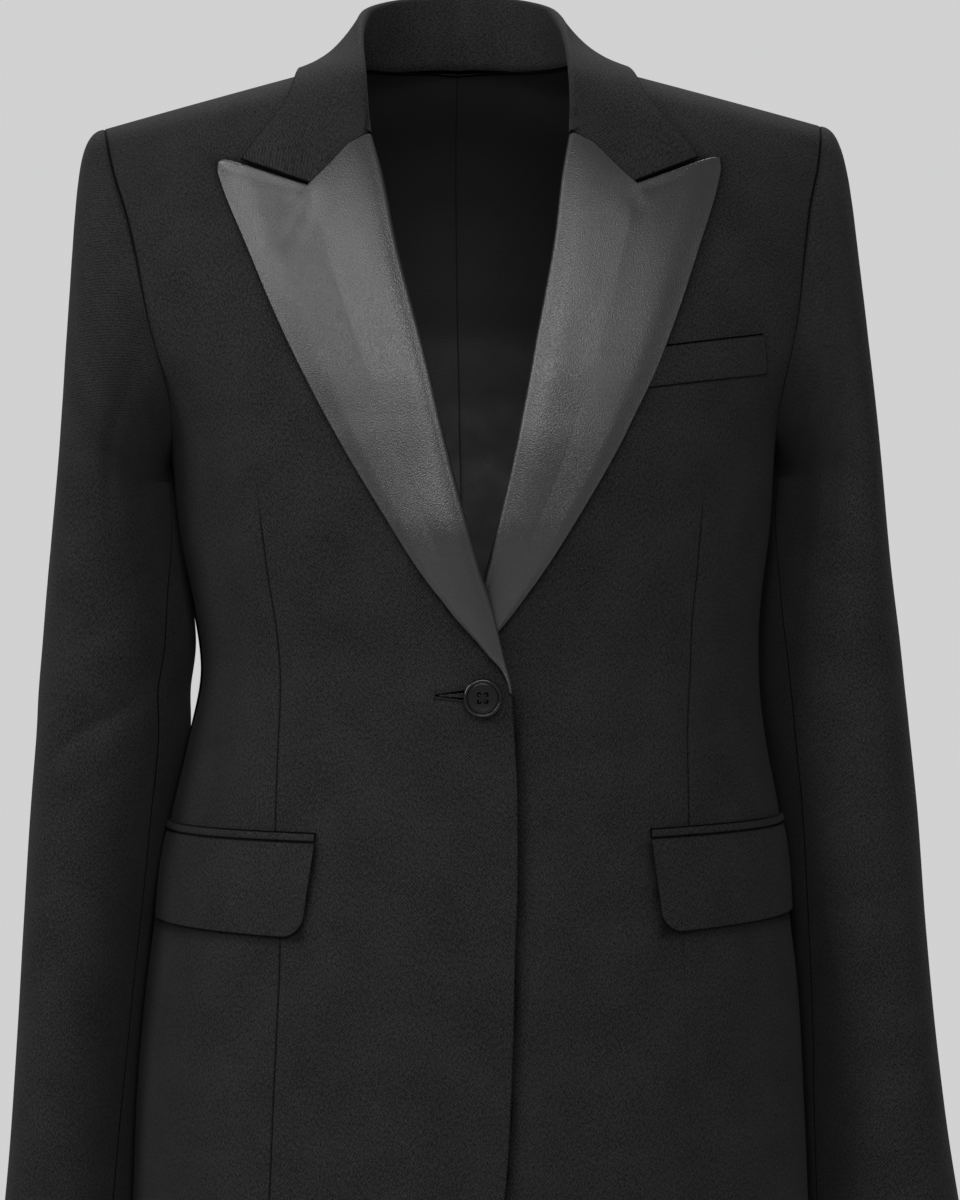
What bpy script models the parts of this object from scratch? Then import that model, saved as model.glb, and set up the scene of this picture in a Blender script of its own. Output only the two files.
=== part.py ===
"""Women's single-breasted tuxedo jacket with satin peak lapels, hollow, in the form it is worn in.

The tables below are in millimetres and the finished meshes are in metres, with +Z up, the front
facing -Y and the wearer's left at +X.  The origin lies midway between the two points where the
shoulder seams meet the neck.  Every panel is a sheet cut from one form: a body of rounded
sections, and a sleeve of rings that starts on the armhole.  What lies on a panel takes its
points from that panel, moved outwards.
"""

import math

import bmesh
import bpy
import numpy as np

MM = 0.001
COLLECTION = "tuxedo_jacket"

# ---------------------------------------------------------------- driving sizes (mm)
WALL = 1.8                  # cloth of the body and the sleeves with its canvas and lining
LAPEL_WALL = 1.7
TRIM_WALL = 1.4             # flaps, jets and welt
SEAM = 0.36                 # space left between two pieces at a seam
SIDE_GAP = SEAM / 2.0 / 190.0      # half a seam, as an angle of the body
GUARD = 0.012               # share of a panel in the narrow strip that keeps seam walls parallel

SHOULDER_SLOPE = 0.276      # fall of the shoulder line for each millimetre outwards
SHOULDER_ROUND = 30.0       # how softly the two slopes meet at the centre
SQUARENESS = 2.4            # 2 is an ellipse, more is a squarer section
CENTRE_SWAY = 0.4
NECK_HALF = 72.0            # shoulder neck point from the centre
NECK_BACK = 52.0            # centre back neck behind the shoulder line

# Sections of the body, one row for each level from the shoulder line to the hem.
#   level: height at the centre     half: half width      front, back: depth each way
#   side: how far back the side line lies     slope: share of the shoulder slope that is left
#   sway: lean of the sides to +X, of which the centre has CENTRE_SWAY
BODY_COLUMNS = ("level", "half", "front", "back", "side", "slope", "sway")
BODY_ROWS = (
    (12.5, 240.0, 0.0, 0.0, 0.0, 1.00, 0.0),
    (11.6, 240.0, 13.0, 16.0, 0.0, 0.99, 0.0),
    (8.0, 240.0, 28.0, 34.0, 0.0, 0.98, 0.0),
    (0.5, 240.0, 43.0, 52.0, 0.0, 0.95, 0.0),
    (-14.0, 240.0, 58.0, 68.0, 0.0, 0.92, 0.0),
    (-40.0, 238.0, 76.0, 85.0, 0.0, 0.82, 0.0),
    (-84.0, 233.0, 94.0, 99.0, 0.0, 0.60, 1.0),
    (-130.0, 225.0, 107.0, 106.0, 1.0, 0.36, 2.0),
    (-165.0, 213.0, 115.0, 109.0, 4.0, 0.20, 3.0),
    (-195.0, 195.5, 121.0, 109.0, 8.0, 0.08, 4.0),
    (-215.0, 186.0, 123.0, 108.0, 11.0, 0.03, 4.0),
    (-232.0, 181.5, 124.0, 107.0, 13.0, 0.00, 4.5),
    (-275.0, 178.0, 121.0, 101.0, 14.0, 0.00, 5.0),
    (-320.0, 172.0, 111.0, 95.0, 14.0, 0.00, 6.5),
    (-361.0, 168.5, 104.0, 92.0, 14.0, 0.00, 8.0),
    (-408.0, 174.5, 107.0, 98.0, 14.0, 0.00, 5.0),
    (-460.0, 184.5, 113.0, 108.0, 14.0, 0.00, 3.2),
    (-513.0, 190.9, 119.0, 115.0, 13.0, 0.00, 1.1),
    (-563.0, 196.7, 123.0, 119.0, 12.0, 0.00, 0.1),
    (-620.0, 200.3, 126.0, 121.0, 10.0, 0.00, -1.4),
    (-680.0, 202.8, 129.0, 122.0, 10.0, 0.00, -1.9),
    (-740.0, 205.2, 131.0, 123.0, 10.0, 0.00, -2.4),
)
UNDERARM_ROW = 11.0
HEM_ROW = len(BODY_ROWS) - 1.0

# Edges seen from the front: height, and distance out from the centre front on its own side.
ARMHOLE = ((-232, 181.5), (-219, 180.5), (-201, 182), (-157, 191), (-118, 197), (-92, 202),
           (-67, 209), (-36, 215))
ROLL_LINE = ((-370, -15), (-330, -6), (-299, 3.2), (-241, 18), (-176, 32), (-112, 46),
             (-75, 52), (-51, 57.5))
LAPEL_EDGE = ((-370, -12), (-347, 2), (-330, 16.5), (-299, 39), (-242, 74.5), (-217, 88),
              (-185, 104), (-152, 118), (-115, 132), (-83, 143.5), (-62.5, 146.8))
GORGE = ((57.5, -51), (68.6, -57), (79.8, -68.5), (93.5, -81))   # distance out, height
LAPEL_TIP = (146.8, -62.5)
COLLAR_CORNER = (133, -66)
NECK_EDGE = ((-51, 62.4), (-25, 68.5), (1, 72.5))
FRONT_EDGE = ((-740, 48), (-730, 24), (-715, 8), (-695, -3), (-665, -11), (-595, -16),
              (-529, -18), (-485, -19.7), (-441, -19.8), (-408, -18.5), (-385, -16.5))

ROLL_RADIUS = 3.1           # outer radius of the lapel and collar folds
ROLL_INSET = 4.9            # panel edge behind the visible fold
FALL_HEIGHT = 4.6           # outer face of lapel and collar above the panel under it

# How far the right front stands off the left one where they overlap.
LAP_UNDER_LAPEL = 7.0
LAP = 2.4
LAP_FULL = 24.0             # full lift up to this distance, none beyond LAP_NONE
LAP_NONE = 75.0

# Stations of the collar from the gorge to the centre back.
#   seam_out, seam_row: where it joins the neck edge (row > 0 front, < 0 back)
#   fold_out, fold_y, fold_z: middle of its fold      edge_out, edge_row: its outer edge
COLLAR_COLUMNS = ("seam_out", "seam_row", "fold_out", "fold_y", "fold_z", "edge_out", "edge_row")
COLLAR_STATIONS = (
    (62.4, 5.20, 60.6, -77.4, -51.0, 133.0, 5.06),
    (67.0, 3.55, 62.5, -56.0, -15.0, 104.0, 3.45),
    (71.5, 0.00, 62.0, -8.0, 15.0, 95.0, 0.00),
    (62.0, -1.55, 57.0, 30.0, 33.0, 83.0, -2.20),
    (36.0, -2.65, 33.0, 50.0, 42.0, 49.0, -3.50),
    (0.0, -3.00, 0.0, 57.0, 44.5, 0.0, -3.75),
)

# Rings of the sleeve below the underarm, level, with the elbow near the fourth row.
#   outer, inner: distance from the centre       front, back: depth from the side line
SLEEVE_COLUMNS = ("level", "outer", "inner", "front", "back", "outer_sway", "inner_sway",
                  "seam_right", "seam_left")
SLEEVE_ROWS = (
    (-250.0, 240.1, 184.1, 71.0, 71.0, -0.3, 4.8, 0.486, 0.526),
    (-300.0, 246.1, 178.3, 66.0, 72.0, 0.0, 5.8, 0.438, 0.482),
    (-345.0, 251.6, 173.7, 62.0, 70.0, 0.8, 6.6, 0.402, 0.441),
    (-375.0, 254.8, 174.8, 60.0, 68.0, 1.1, 5.3, 0.395, 0.424),
    (-398.0, 256.9, 175.6, 58.5, 66.5, 1.6, 6.1, 0.396, 0.421),
    (-450.0, 261.6, 186.1, 57.0, 63.0, 1.8, 3.6, 0.424, 0.437),
    (-513.0, 265.8, 194.2, 56.5, 58.5, 1.6, 1.1, 0.445, 0.452),
    (-570.0, 270.1, 200.5, 56.0, 54.0, 2.0, -0.1, 0.450, 0.471),
    (-640.0, 276.8, 204.3, 56.5, 48.5, 3.2, -1.7, 0.432, 0.483),
    (-705.0, 285.4, 206.6, 57.0, 43.0, 4.8, -2.2, 0.408, 0.489),
)
# Turn of each sleeve about its own length: below 0 its front stands further from the body.
SLEEVE_TURN = -0.20
SLEEVE_SQUARENESS = 2.3
CAP_STEPS = (0.0, 0.08, 0.18, 0.32, 0.5, 0.75)      # share of the way down the sleeve head
SLEEVE_RINGS = (0.0, 0.5, 1.0, 2.0, 3.0, 4.0, 5.0, 6.0, 7.0, 8.0, 9.0)
CAP_START = 0.9             # the sleeve starts this far outside the armhole
SLEEVE_SEAM = 0.0034        # space at a sleeve seam and the strip beside it, as a share of a ring
SLEEVE_GUARD = 0.008
# Forearm and hindarm seams at the armhole as shares of the way round: outer, front, inner,
# back.  Along the arm the forearm seam follows its columns in the table, one for each side.
SEAMS_AT_ARMHOLE = (0.50, 0.70)
HINDARM_SEAM = 0.72         # its share along the arm
SEAMS_SETTLE = 2.0          # ring by which they have reached those places

POCKET_TOP = -461.0
POCKET_OUT = 97.0           # front end of the flap from the centre front
FLAP_LENGTH = 138.0
FLAP_DROP = 55.0
FLAP_SLANT = 8.0            # the flap's front end leans back by this much at its foot
FLAP_ROUND = 13.0
POCKET_TILT = 0.032         # the back end of the pocket is this much higher for its length
FLAP_NARROWS = 3.0          # the flap is shorter at its back end by this
JET_HEIGHT = 5.5
JET_LIFT = 2.1              # outer face of the jet above the front
FLAP_LIFT = 2.2

WELT_INNER, WELT_OUTER = 97.0, 169.5
WELT_TOP = -169.5
WELT_HEIGHT = 22.0
WELT_SLOPE = 0.127
WELT_LIFT = 1.6

BUTTON_LEVEL, BUTTON_OUT = -379.0, 1.3
BUTTON_DIAMETER = 22.8
BUTTON_THICKNESS = 4.2
BUTTON_SEAT = 0.45          # back of the button above the cloth
BUTTON_HOLE = 1.05
BUTTON_HOLE_STEP = 4.1

# ---------------------------------------------------------------- materials
MATERIALS = {
    # name: base colour, roughness
    "wool": ((0.020, 0.020, 0.022), 0.85),
    "satin": ((0.030, 0.030, 0.032), 0.38),
    "button": ((0.008, 0.008, 0.009), 0.22),
}


def material(name):
    """The Principled material of this name."""
    made = bpy.data.materials.get(name)
    if made is None:
        colour, roughness = MATERIALS[name]
        made = bpy.data.materials.new(name)
        made.use_nodes = True
        shader = made.node_tree.nodes["Principled BSDF"]
        shader.inputs["Base Color"].default_value = (*colour, 1.0)
        shader.inputs["Roughness"].default_value = roughness
        shader.inputs["Metallic"].default_value = 0.0
    return made


# ---------------------------------------------------------------- smooth tables
def smooth(knots, values, at):
    """A curve through the knots that never overshoots them, read at one place or many."""
    knots, values = np.asarray(knots, float), np.asarray(values, float)
    at = np.clip(np.asarray(at, float), knots[0], knots[-1])
    width = np.diff(knots)
    rise = np.diff(values) / width
    slope = np.empty(len(knots))
    slope[0], slope[-1] = rise[0], rise[-1]
    before, after = rise[:-1], rise[1:]
    turning = before * after <= 0
    weight = width[:-1] + width[1:]
    share = np.where(turning, 1.0, before * after)
    mean = np.where(turning, 1.0, ((weight + width[1:]) * after + (weight + width[:-1]) * before))
    slope[1:-1] = np.where(turning, 0.0, 3.0 * weight * share / mean)
    cell = np.clip(np.searchsorted(knots, at, side="right") - 1, 0, len(knots) - 2)
    part = (at - knots[cell]) / width[cell]
    square, cube = part * part, part ** 3
    return (values[cell] * (2 * cube - 3 * square + 1)
            + slope[cell] * width[cell] * (cube - 2 * square + part)
            + values[cell + 1] * (3 * square - 2 * cube)
            + slope[cell + 1] * width[cell] * (cube - square))


def edge_out(table, height):
    """Distance out at a height, from a table of (height, distance) pairs."""
    heights, distances = zip(*table)
    return smooth(heights, distances, height)


def column(rows, columns, name, at):
    """One column of a section table, at row position `at`."""
    place = columns.index(name)
    return smooth(np.arange(len(rows)), [row[place] for row in rows], at)


def fade(value, start, end):
    """0 before start, 1 after end, with a smooth turn between them."""
    part = np.clip((np.asarray(value, float) - start) / (end - start), 0.0, 1.0)
    return part * part * (3.0 - 2.0 * part)


def unit(vectors):
    """The same directions, one millimetre long."""
    return vectors / np.maximum(np.linalg.norm(vectors, axis=-1, keepdims=True), 1e-9)


# ---------------------------------------------------------------- the body form
def body_level(out, row):
    """Height of the form at distance `out` from the centre, on a row."""
    row = np.abs(row)
    soft = np.sqrt(np.square(out) + SHOULDER_ROUND ** 2) - SHOULDER_ROUND
    slope = column(BODY_ROWS, BODY_COLUMNS, "slope", row)
    return column(BODY_ROWS, BODY_COLUMNS, "level", row) - slope * SHOULDER_SLOPE * soft


def body(side, angle, row):
    """Points of the body's outer face.

    angle runs from 0 at the centre front over 90 degrees at the side to 180 at the centre back.
    A negative row is the same row on the other face, so rows run over the shoulder unbroken.
    """
    angle, row = np.broadcast_arrays(np.asarray(angle, float), np.asarray(row, float))
    level = np.abs(row)
    half = column(BODY_ROWS, BODY_COLUMNS, "half", level)
    front = column(BODY_ROWS, BODY_COLUMNS, "front", level)
    back = column(BODY_ROWS, BODY_COLUMNS, "back", level)
    line = column(BODY_ROWS, BODY_COLUMNS, "side", level)
    sway = column(BODY_ROWS, BODY_COLUMNS, "sway", level)
    sway = sway * (CENTRE_SWAY + (1.0 - CENTRE_SWAY) * np.square(np.sin(angle)))
    facing = np.where(row < 0, -1.0, 1.0) * np.where(np.cos(angle) < 0, -1.0, 1.0)
    out = half * np.sin(angle)
    bulge = np.maximum(1.0 - np.abs(np.sin(angle)) ** SQUARENESS, 0.0) ** (1.0 / SQUARENESS)
    depth = np.where(facing > 0, -(front + line), back - line) * bulge + line
    return np.stack((side * out + sway, depth, body_level(out, level)), axis=-1)


def body_normal(side, angle, row):
    """Outward directions of the body form."""
    step = 0.004
    across = body(side, angle + step, row) - body(side, angle - step, row)
    inside = np.clip(np.abs(row), 0.03, HEM_ROW - 0.03) * np.where(np.asarray(row) < 0, -1.0, 1.0)
    down = body(side, angle, inside + 0.03) - body(side, angle, inside - 0.03)
    return unit(side * np.cross(down, across))


def angle_at(out, row):
    """The angle at which a row reaches this distance from the centre."""
    half = column(BODY_ROWS, BODY_COLUMNS, "half", np.abs(row))
    return np.arcsin(np.clip(np.asarray(out, float) / half, -1.0, 1.0))


def row_at(out, height):
    """The row that passes through this height at distance `out`."""
    low = np.zeros(np.broadcast(out, height).shape)
    high = low + HEM_ROW
    for _ in range(34):
        middle = (low + high) / 2.0
        below = body_level(out, middle) > height
        low, high = np.where(below, middle, low), np.where(below, high, middle)
    return (low + high) / 2.0


def lap_lift(side, out, height):
    """How far the right front is lifted where it passes over the left one."""
    if side > 0:
        return np.zeros(np.broadcast(out, height).shape)
    under_lapel = 1.0 - fade(-height, 374.0, 412.0)
    amount = LAP + (LAP_UNDER_LAPEL - LAP) * under_lapel
    amount = amount * fade(-height, 225.0, 292.0)
    return amount * (1.0 - fade(out, LAP_FULL, LAP_NONE))


def on_front(side, out, height, lift=0.0):
    """Points over a forepart at (distance out, height), `lift` above its outer face."""
    out, height, lift = np.broadcast_arrays(out, height, lift)
    row = row_at(out, height)
    angle = angle_at(out, row)
    total = lift + lap_lift(side, out, height)
    return body(side, angle, row) + body_normal(side, angle, row) * total[..., None]


def crossing(row, table):
    """Where an edge given as (height, distance out) pairs crosses a row."""
    height = body_level(100.0, row)
    for _ in range(12):
        out = edge_out(table, height)
        height = body_level(out, row)
    return out


def armhole_angle(row):
    """Side end of a row: the armhole above the underarm, the side seam below it."""
    out = crossing(np.minimum(row, UNDERARM_ROW), ARMHOLE)
    return np.where(row >= UNDERARM_ROW, math.pi / 2.0, angle_at(out, np.minimum(row, UNDERARM_ROW)))


def roll_panel_edge():
    """Inner edge of a forepart as (height, distance out): front edge, under the roll, neck."""
    roll = tuple((height, out + ROLL_INSET) for height, out in ROLL_LINE[:-1])
    return FRONT_EDGE + roll + NECK_EDGE


def neck_angle(row):
    """Inner end of a back row: the oval of the back neck, then the centre back."""
    depth = column(BODY_ROWS, BODY_COLUMNS, "back", row)
    out = NECK_HALF * np.sqrt(np.maximum(1.0 - (depth / NECK_BACK) ** 2, 0.0))
    return angle_at(out, row)


# ---------------------------------------------------------------- meshes
def new_object(name, mesh, finish):
    """Put a mesh into the jacket's collection with its material."""
    piece = bpy.data.objects.new(name, mesh)
    mesh.materials.append(material(finish))
    bpy.data.collections[COLLECTION].objects.link(piece)
    return piece


def cloth(name, grid, finish="wool", wall=WALL, turned=False):
    """A sheet through a grid of points on its outer face, thickened inwards by its wall."""
    rows, columns = grid.shape[:2]
    mesh = bpy.data.meshes.new(name)
    faces = []
    for row in range(rows - 1):
        for place in range(columns - 1):
            corner = row * columns + place
            face = (corner, corner + 1, corner + columns + 1, corner + columns)
            faces.append(face[::-1] if turned else face)
    mesh.from_pydata((grid.reshape(-1, 3) * MM).tolist(), [], faces)
    mesh.shade_smooth()
    piece = new_object(name, mesh, finish)
    solidify = piece.modifiers.new("wall", "SOLIDIFY")
    solidify.thickness = wall * MM
    solidify.offset = -1.0
    solidify.use_even_offset = False
    return piece


def with_guards(places, guard, first=True, last=True):
    """Places between 0 and 1 with a narrow strip added beside the ends that are seams."""
    extra = ([guard] if first else []) + ([1.0 - guard] if last else [])
    return np.array(sorted(set(places) | set(extra)))


def between(start, end, shares):
    """Rows of values that run from start to end."""
    return start[:, None] + (end - start)[:, None] * shares[None, :]


# ---------------------------------------------------------------- foreparts and backs
SHOULDER_ROWS = (4.0, 5.0, 6.0, 7.0, 8.0, 9.0, 10.0, 10.9, 11.0, 11.3, 12.0, 13.0, 14.0)
HIP_ROWS = (15.0, 16.0, 17.0, 18.0, 19.0, 20.0)
FRONT_ROWS = ((0.02, 0.22, 1.0, 2.0, 3.0) + SHOULDER_ROWS + (14.2, 14.5) + HIP_ROWS
              + (20.4, 20.7, 20.85, HEM_ROW))
BACK_ROWS = (0.02, 0.22, 0.8, 1.6, 2.2, 2.6, 2.85, 3.0) + SHOULDER_ROWS + HIP_ROWS + (HEM_ROW,)


def panel_grid(rows, inner, outer, shares):
    """Angles and rows of a panel's points between its inner and outer ends."""
    angles = between(inner, outer, shares)
    return angles, np.repeat(rows[:, None], angles.shape[1], axis=1)


def forepart(name, side):
    """One front: shoulder, armhole and side seam outside, neck, roll line and edge inside."""
    rows = np.array(FRONT_ROWS)
    inner = angle_at(crossing(rows, roll_panel_edge()), rows)
    outer = armhole_angle(rows) - SIDE_GAP
    shares = with_guards(np.linspace(0.0, 1.0, 9), GUARD, first=False)
    angles, rows = panel_grid(rows, inner, outer, shares)
    points = body(side, angles, rows)
    out = column(BODY_ROWS, BODY_COLUMNS, "half", rows) * np.sin(angles)
    lift = lap_lift(side, out, points[..., 2])
    points = points + body_normal(side, angles, rows) * lift[..., None]
    return cloth(name, points, turned=side > 0)


def backpart(name, side):
    """One back: shoulder, armhole and side seam outside, neck and centre back inside."""
    rows = np.array(BACK_ROWS)
    inner = neck_angle(rows) + SIDE_GAP
    outer = armhole_angle(rows) - SIDE_GAP
    shares = with_guards(np.linspace(0.0, 1.0, 8), GUARD)
    angles, rows = panel_grid(rows, inner, outer, shares)
    return cloth(name, body(side, math.pi - angles, rows), turned=side < 0)


# ---------------------------------------------------------------- lapels and collar
def gorge_line(out):
    """Height of the gorge seam and then of the lapel's top edge, from the fold to the tip."""
    points = GORGE + (LAPEL_TIP,)
    return np.interp(out, [p[0] for p in points], [p[1] for p in points])


def lapel(name, side):
    """A peak lapel: it leaves the front at the roll, turns over it and lies on the chest."""
    down = np.array((0.0, 0.06, 0.14, 0.24, 0.36, 0.48, 0.6, 0.7, 0.79, 0.86, 0.92, 0.97, 1.0))
    notch = (GORGE[-1][0] - GORGE[0][0]) / (LAPEL_TIP[0] - GORGE[0][0])
    across = np.array((0.0, notch / 3, notch * 2 / 3, notch, 0.56, 0.7, 0.85, 1.0))
    top_height, foot_height = GORGE[0][1] - SEAM, ROLL_LINE[0][0]
    roll_height = top_height + (foot_height - top_height) * down
    edge_height = LAPEL_TIP[1] + (foot_height - LAPEL_TIP[1]) * down
    roll_out = edge_out(ROLL_LINE, roll_height)
    outer_out = edge_out(LAPEL_EDGE, edge_height)
    top_out = GORGE[0][0] + (LAPEL_TIP[0] - GORGE[0][0]) * across
    straight = GORGE[0][1] + (LAPEL_TIP[1] - GORGE[0][1]) * across
    bend = gorge_line(top_out) - straight
    flat_out = between(roll_out, outer_out, across)
    flat_height = between(roll_height, edge_height, across) + bend[None, :] * (1.0 - down)[:, None]

    centre_out = roll_out + ROLL_RADIUS
    middle = FALL_HEIGHT - ROLL_RADIUS
    turn = np.radians((-90.0, -45.0, 0.0, 45.0))
    fold_out = centre_out[:, None] - ROLL_RADIUS * np.cos(turn)[None, :]
    fold_lift = np.repeat(middle + ROLL_RADIUS * np.sin(turn)[None, :], len(down), axis=0)
    start_out = centre_out[:, None] + 0.9
    start_lift = np.full(start_out.shape, middle - ROLL_RADIUS)
    flat_out[:, 0] = centre_out
    flat_out[:, 1:] = np.maximum(flat_out[:, 1:], flat_out[:, :1] + 0.5 * np.arange(1, len(across)))
    out = np.hstack((start_out, fold_out, flat_out))
    lift = np.hstack((start_lift, fold_lift, np.full(flat_out.shape, FALL_HEIGHT)))
    height = np.hstack((np.repeat(roll_height[:, None], 5, axis=1), flat_height))
    return cloth(name, on_front(side, out, height, lift), "satin", LAPEL_WALL, turned=side > 0)


def collar_half(side):
    """Grid of one half of the collar: stand, fold and fall, from the gorge to the back."""
    places = np.array((0.0, 0.35, 0.8, 1.4, 2.1, 3.0, 4.0, 5.0))
    spots = np.arange(len(COLLAR_STATIONS))

    def at(name):
        place = COLLAR_COLUMNS.index(name)
        return smooth(spots, [row[place] for row in COLLAR_STATIONS], places)

    seam_out, seam_row = at("seam_out"), at("seam_row")
    seam_row[0] = row_at(seam_out[0], GORGE[0][1] + SEAM)
    seam = body(side, angle_at(seam_out, seam_row), seam_row)
    normal = body_normal(side, angle_at(seam_out, seam_row), seam_row)
    fold = np.stack((side * at("fold_out"), at("fold_y"), at("fold_z")), axis=-1)
    fold[0] = on_front(side, GORGE[0][0] + ROLL_RADIUS, GORGE[0][1] + SEAM, FALL_HEIGHT - ROLL_RADIUS)
    inward = unit(np.stack((-side * seam_out, -seam[:, 1], np.zeros(len(places))), axis=-1))
    inward[0] = (-side, 0.0, 0.0)
    lean = np.maximum(1.0 - places / 2.0, 0.0)[:, None]
    upward = unit((fold - seam) * np.minimum(places, 1.0)[:, None] + inward * 10.0 * lean)
    outward = unit(normal - np.sum(normal * upward, axis=-1)[:, None] * upward)

    turn = np.radians((-90.0, -45.0, 0.0, 45.0, 90.0))
    arc = (fold[:, None] + upward[:, None] * (ROLL_RADIUS * np.cos(turn))[None, :, None]
           + outward[:, None] * (ROLL_RADIUS * np.sin(turn))[None, :, None])
    foot = seam + normal * 0.9 + upward * 0.2
    foot[0] = arc[0, 0] - upward[0]
    middle = (foot + arc[:, 0]) / 2.0

    corner = (COLLAR_CORNER[0] - GORGE[0][0], COLLAR_CORNER[1])
    notch = (GORGE[-1][0] - GORGE[0][0]) / corner[0]
    shares = np.array((0.14, notch, 0.62, 0.8, 1.0))
    base_out = between(seam_out, at("edge_out"), shares)
    base_row = between(seam_row, at("edge_row"), shares)
    front_out = GORGE[0][0] + corner[0] * shares
    line = GORGE + (COLLAR_CORNER,)
    front_height = np.interp(front_out, [p[0] for p in line], [p[1] for p in line]) + SEAM
    front_row = row_at(front_out, front_height)
    bend = (np.maximum(1.0 - places, 0.0) ** 2)[:, None]
    base_out = base_out + bend * (front_out - base_out[0])[None, :]
    base_row = base_row + bend * (front_row - base_row[0])[None, :]
    base_angle = angle_at(base_out, base_row)
    lying = body(side, base_angle, base_row)
    lying = lying + body_normal(side, base_angle, base_row) * FALL_HEIGHT
    start = seam + normal * FALL_HEIGHT
    drift = (arc[:, -1] - start)[:, None] * (1.0 - shares)[None, :, None]
    drift[0] = 0.0
    fall = lying + drift
    return np.concatenate((foot[:, None], middle[:, None], arc, fall), axis=1)


def collar(name):
    """The whole collar, from one gorge round the back of the neck to the other."""
    left, right = collar_half(1.0), collar_half(-1.0)
    centre = (left[-1] + right[-1]) / 2.0
    grid = np.concatenate((right[:-1], centre[None], left[-2::-1]), axis=0)
    return cloth(name, grid, "wool", LAPEL_WALL, turned=True)


# ---------------------------------------------------------------- sleeves
def armhole_ring(side, count=240):
    """The armhole from its top over the front, the underarm and the back, evenly spaced."""
    rows = UNDERARM_ROW * (1.0 - np.cos(np.linspace(0.0, math.pi, count))) / 2.0
    angles = armhole_angle(rows)
    front = body(side, angles, rows)
    back = body(side, math.pi - angles, rows)
    loop = np.concatenate((front, back[-2::-1]))
    length = np.concatenate(([0.0], np.cumsum(np.linalg.norm(np.diff(loop, axis=0), axis=1))))
    return length / length[-1], loop


def sleeve_ring(side, row, around):
    """Points of a level ring of the sleeve at shares `around` of the way round."""
    level, outer, inner, front, back, outer_sway, inner_sway = (
        column(SLEEVE_ROWS, SLEEVE_COLUMNS, name, row) for name in SLEEVE_COLUMNS[:7])
    turn = 2.0 * math.pi * around
    power = 2.0 / SLEEVE_SQUARENESS
    sideways = np.sign(np.cos(turn)) * np.abs(np.cos(turn)) ** power
    forwards = np.sign(np.sin(turn)) * np.abs(np.sin(turn)) ** power
    centre, depth = (back - front) / 2.0, (back + front) / 2.0
    y = centre - depth * forwards
    x = side * ((outer + inner) / 2.0 + (outer - inner) / 2.0 * sideways)
    x = x + side * SLEEVE_TURN * (y - centre)
    x = x + inner_sway + (outer_sway - inner_sway) * (1.0 + sideways) / 2.0
    return np.stack((x, y, np.full(np.shape(around), level)), axis=-1)


def sleeve_cap(side, around, step):
    """Points of the sleeve head at a share `step` of the way from armhole to first level ring."""
    share, loop = armhole_ring(side)
    wrapped = np.mod(around, 1.0)
    start = np.stack([np.interp(wrapped, share, loop[:, axis]) for axis in range(3)], axis=-1)
    up = np.cos(2.0 * math.pi * wrapped)
    forwards = np.sin(2.0 * math.pi * wrapped)
    low = (1.0 - up) / 2.0
    away = unit(np.stack((side * (0.6 + 0.4 * up), -0.15 * forwards, -0.52 + 0.47 * up), axis=-1))
    leave = unit(np.stack((side * np.ones(len(low)), 0.0 * low, 0.6 * low ** 3), axis=-1))
    start = start + leave * (CAP_START + 0.5 * low[:, None])
    end = sleeve_ring(side, 0.0, around)
    below = sleeve_ring(side, 0.25, around)
    rise = (start[:, 2] - end[:, 2])[:, None]
    high = np.maximum(up, 0.0)[:, None]
    first = start + away * (13.0 + 8.0 * up[:, None] + 5.0 * high ** 2)
    second = end + (end - below) / (end[:, 2:] - below[:, 2:]) * rise * (0.55 + 0.07 * high)
    rest = 1.0 - step
    return (start * rest ** 3 + first * 3 * rest ** 2 * step
            + second * 3 * rest * step ** 2 + end * step ** 3)


def sleeve_part(name, side, under, count):
    """The top or the under piece of a sleeve, between its two lengthwise seams."""
    rows = []
    for place in CAP_STEPS + SLEEVE_RINGS:
        on_cap = len(rows) < len(CAP_STEPS)
        settled = fade(0.6 * place if on_cap else 0.6 + place, 0.0, SEAMS_SETTLE)
        along = column(SLEEVE_ROWS, SLEEVE_COLUMNS, "seam_right" if side < 0 else "seam_left",
                       0.0 if on_cap else place)
        forearm, hindarm = ((1.0 - settled) * high + settled * low for high, low
                            in zip(SEAMS_AT_ARMHOLE, (along, HINDARM_SEAM)))
        start, end = (forearm, hindarm) if under else (hindarm - 1.0, forearm)
        shares = with_guards(np.linspace(0.0, 1.0, count), SLEEVE_GUARD / (end - start))
        around = start + SLEEVE_SEAM / 2.0 + (end - start - SLEEVE_SEAM) * shares
        rows.append(sleeve_cap(side, around, place) if on_cap
                    else sleeve_ring(side, place, around))
    return cloth(name, np.array(rows), turned=side < 0)


# ---------------------------------------------------------------- pockets
def round_side(side, out, height, arc, lift):
    """A point over the body `arc` millimetres round from distance `out` at one height."""
    rows = row_at(0.0, height)
    angles = np.linspace(angle_at(out, rows), math.radians(130.0), 200)
    ring = body(side, angles, np.full(angles.shape, rows))
    length = np.concatenate(([0.0], np.cumsum(np.linalg.norm(np.diff(ring, axis=0), axis=1))))
    angle = np.interp(arc, length, angles)
    return (body(side, angle, rows) + body_normal(side, angle, rows) * lift)


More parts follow.
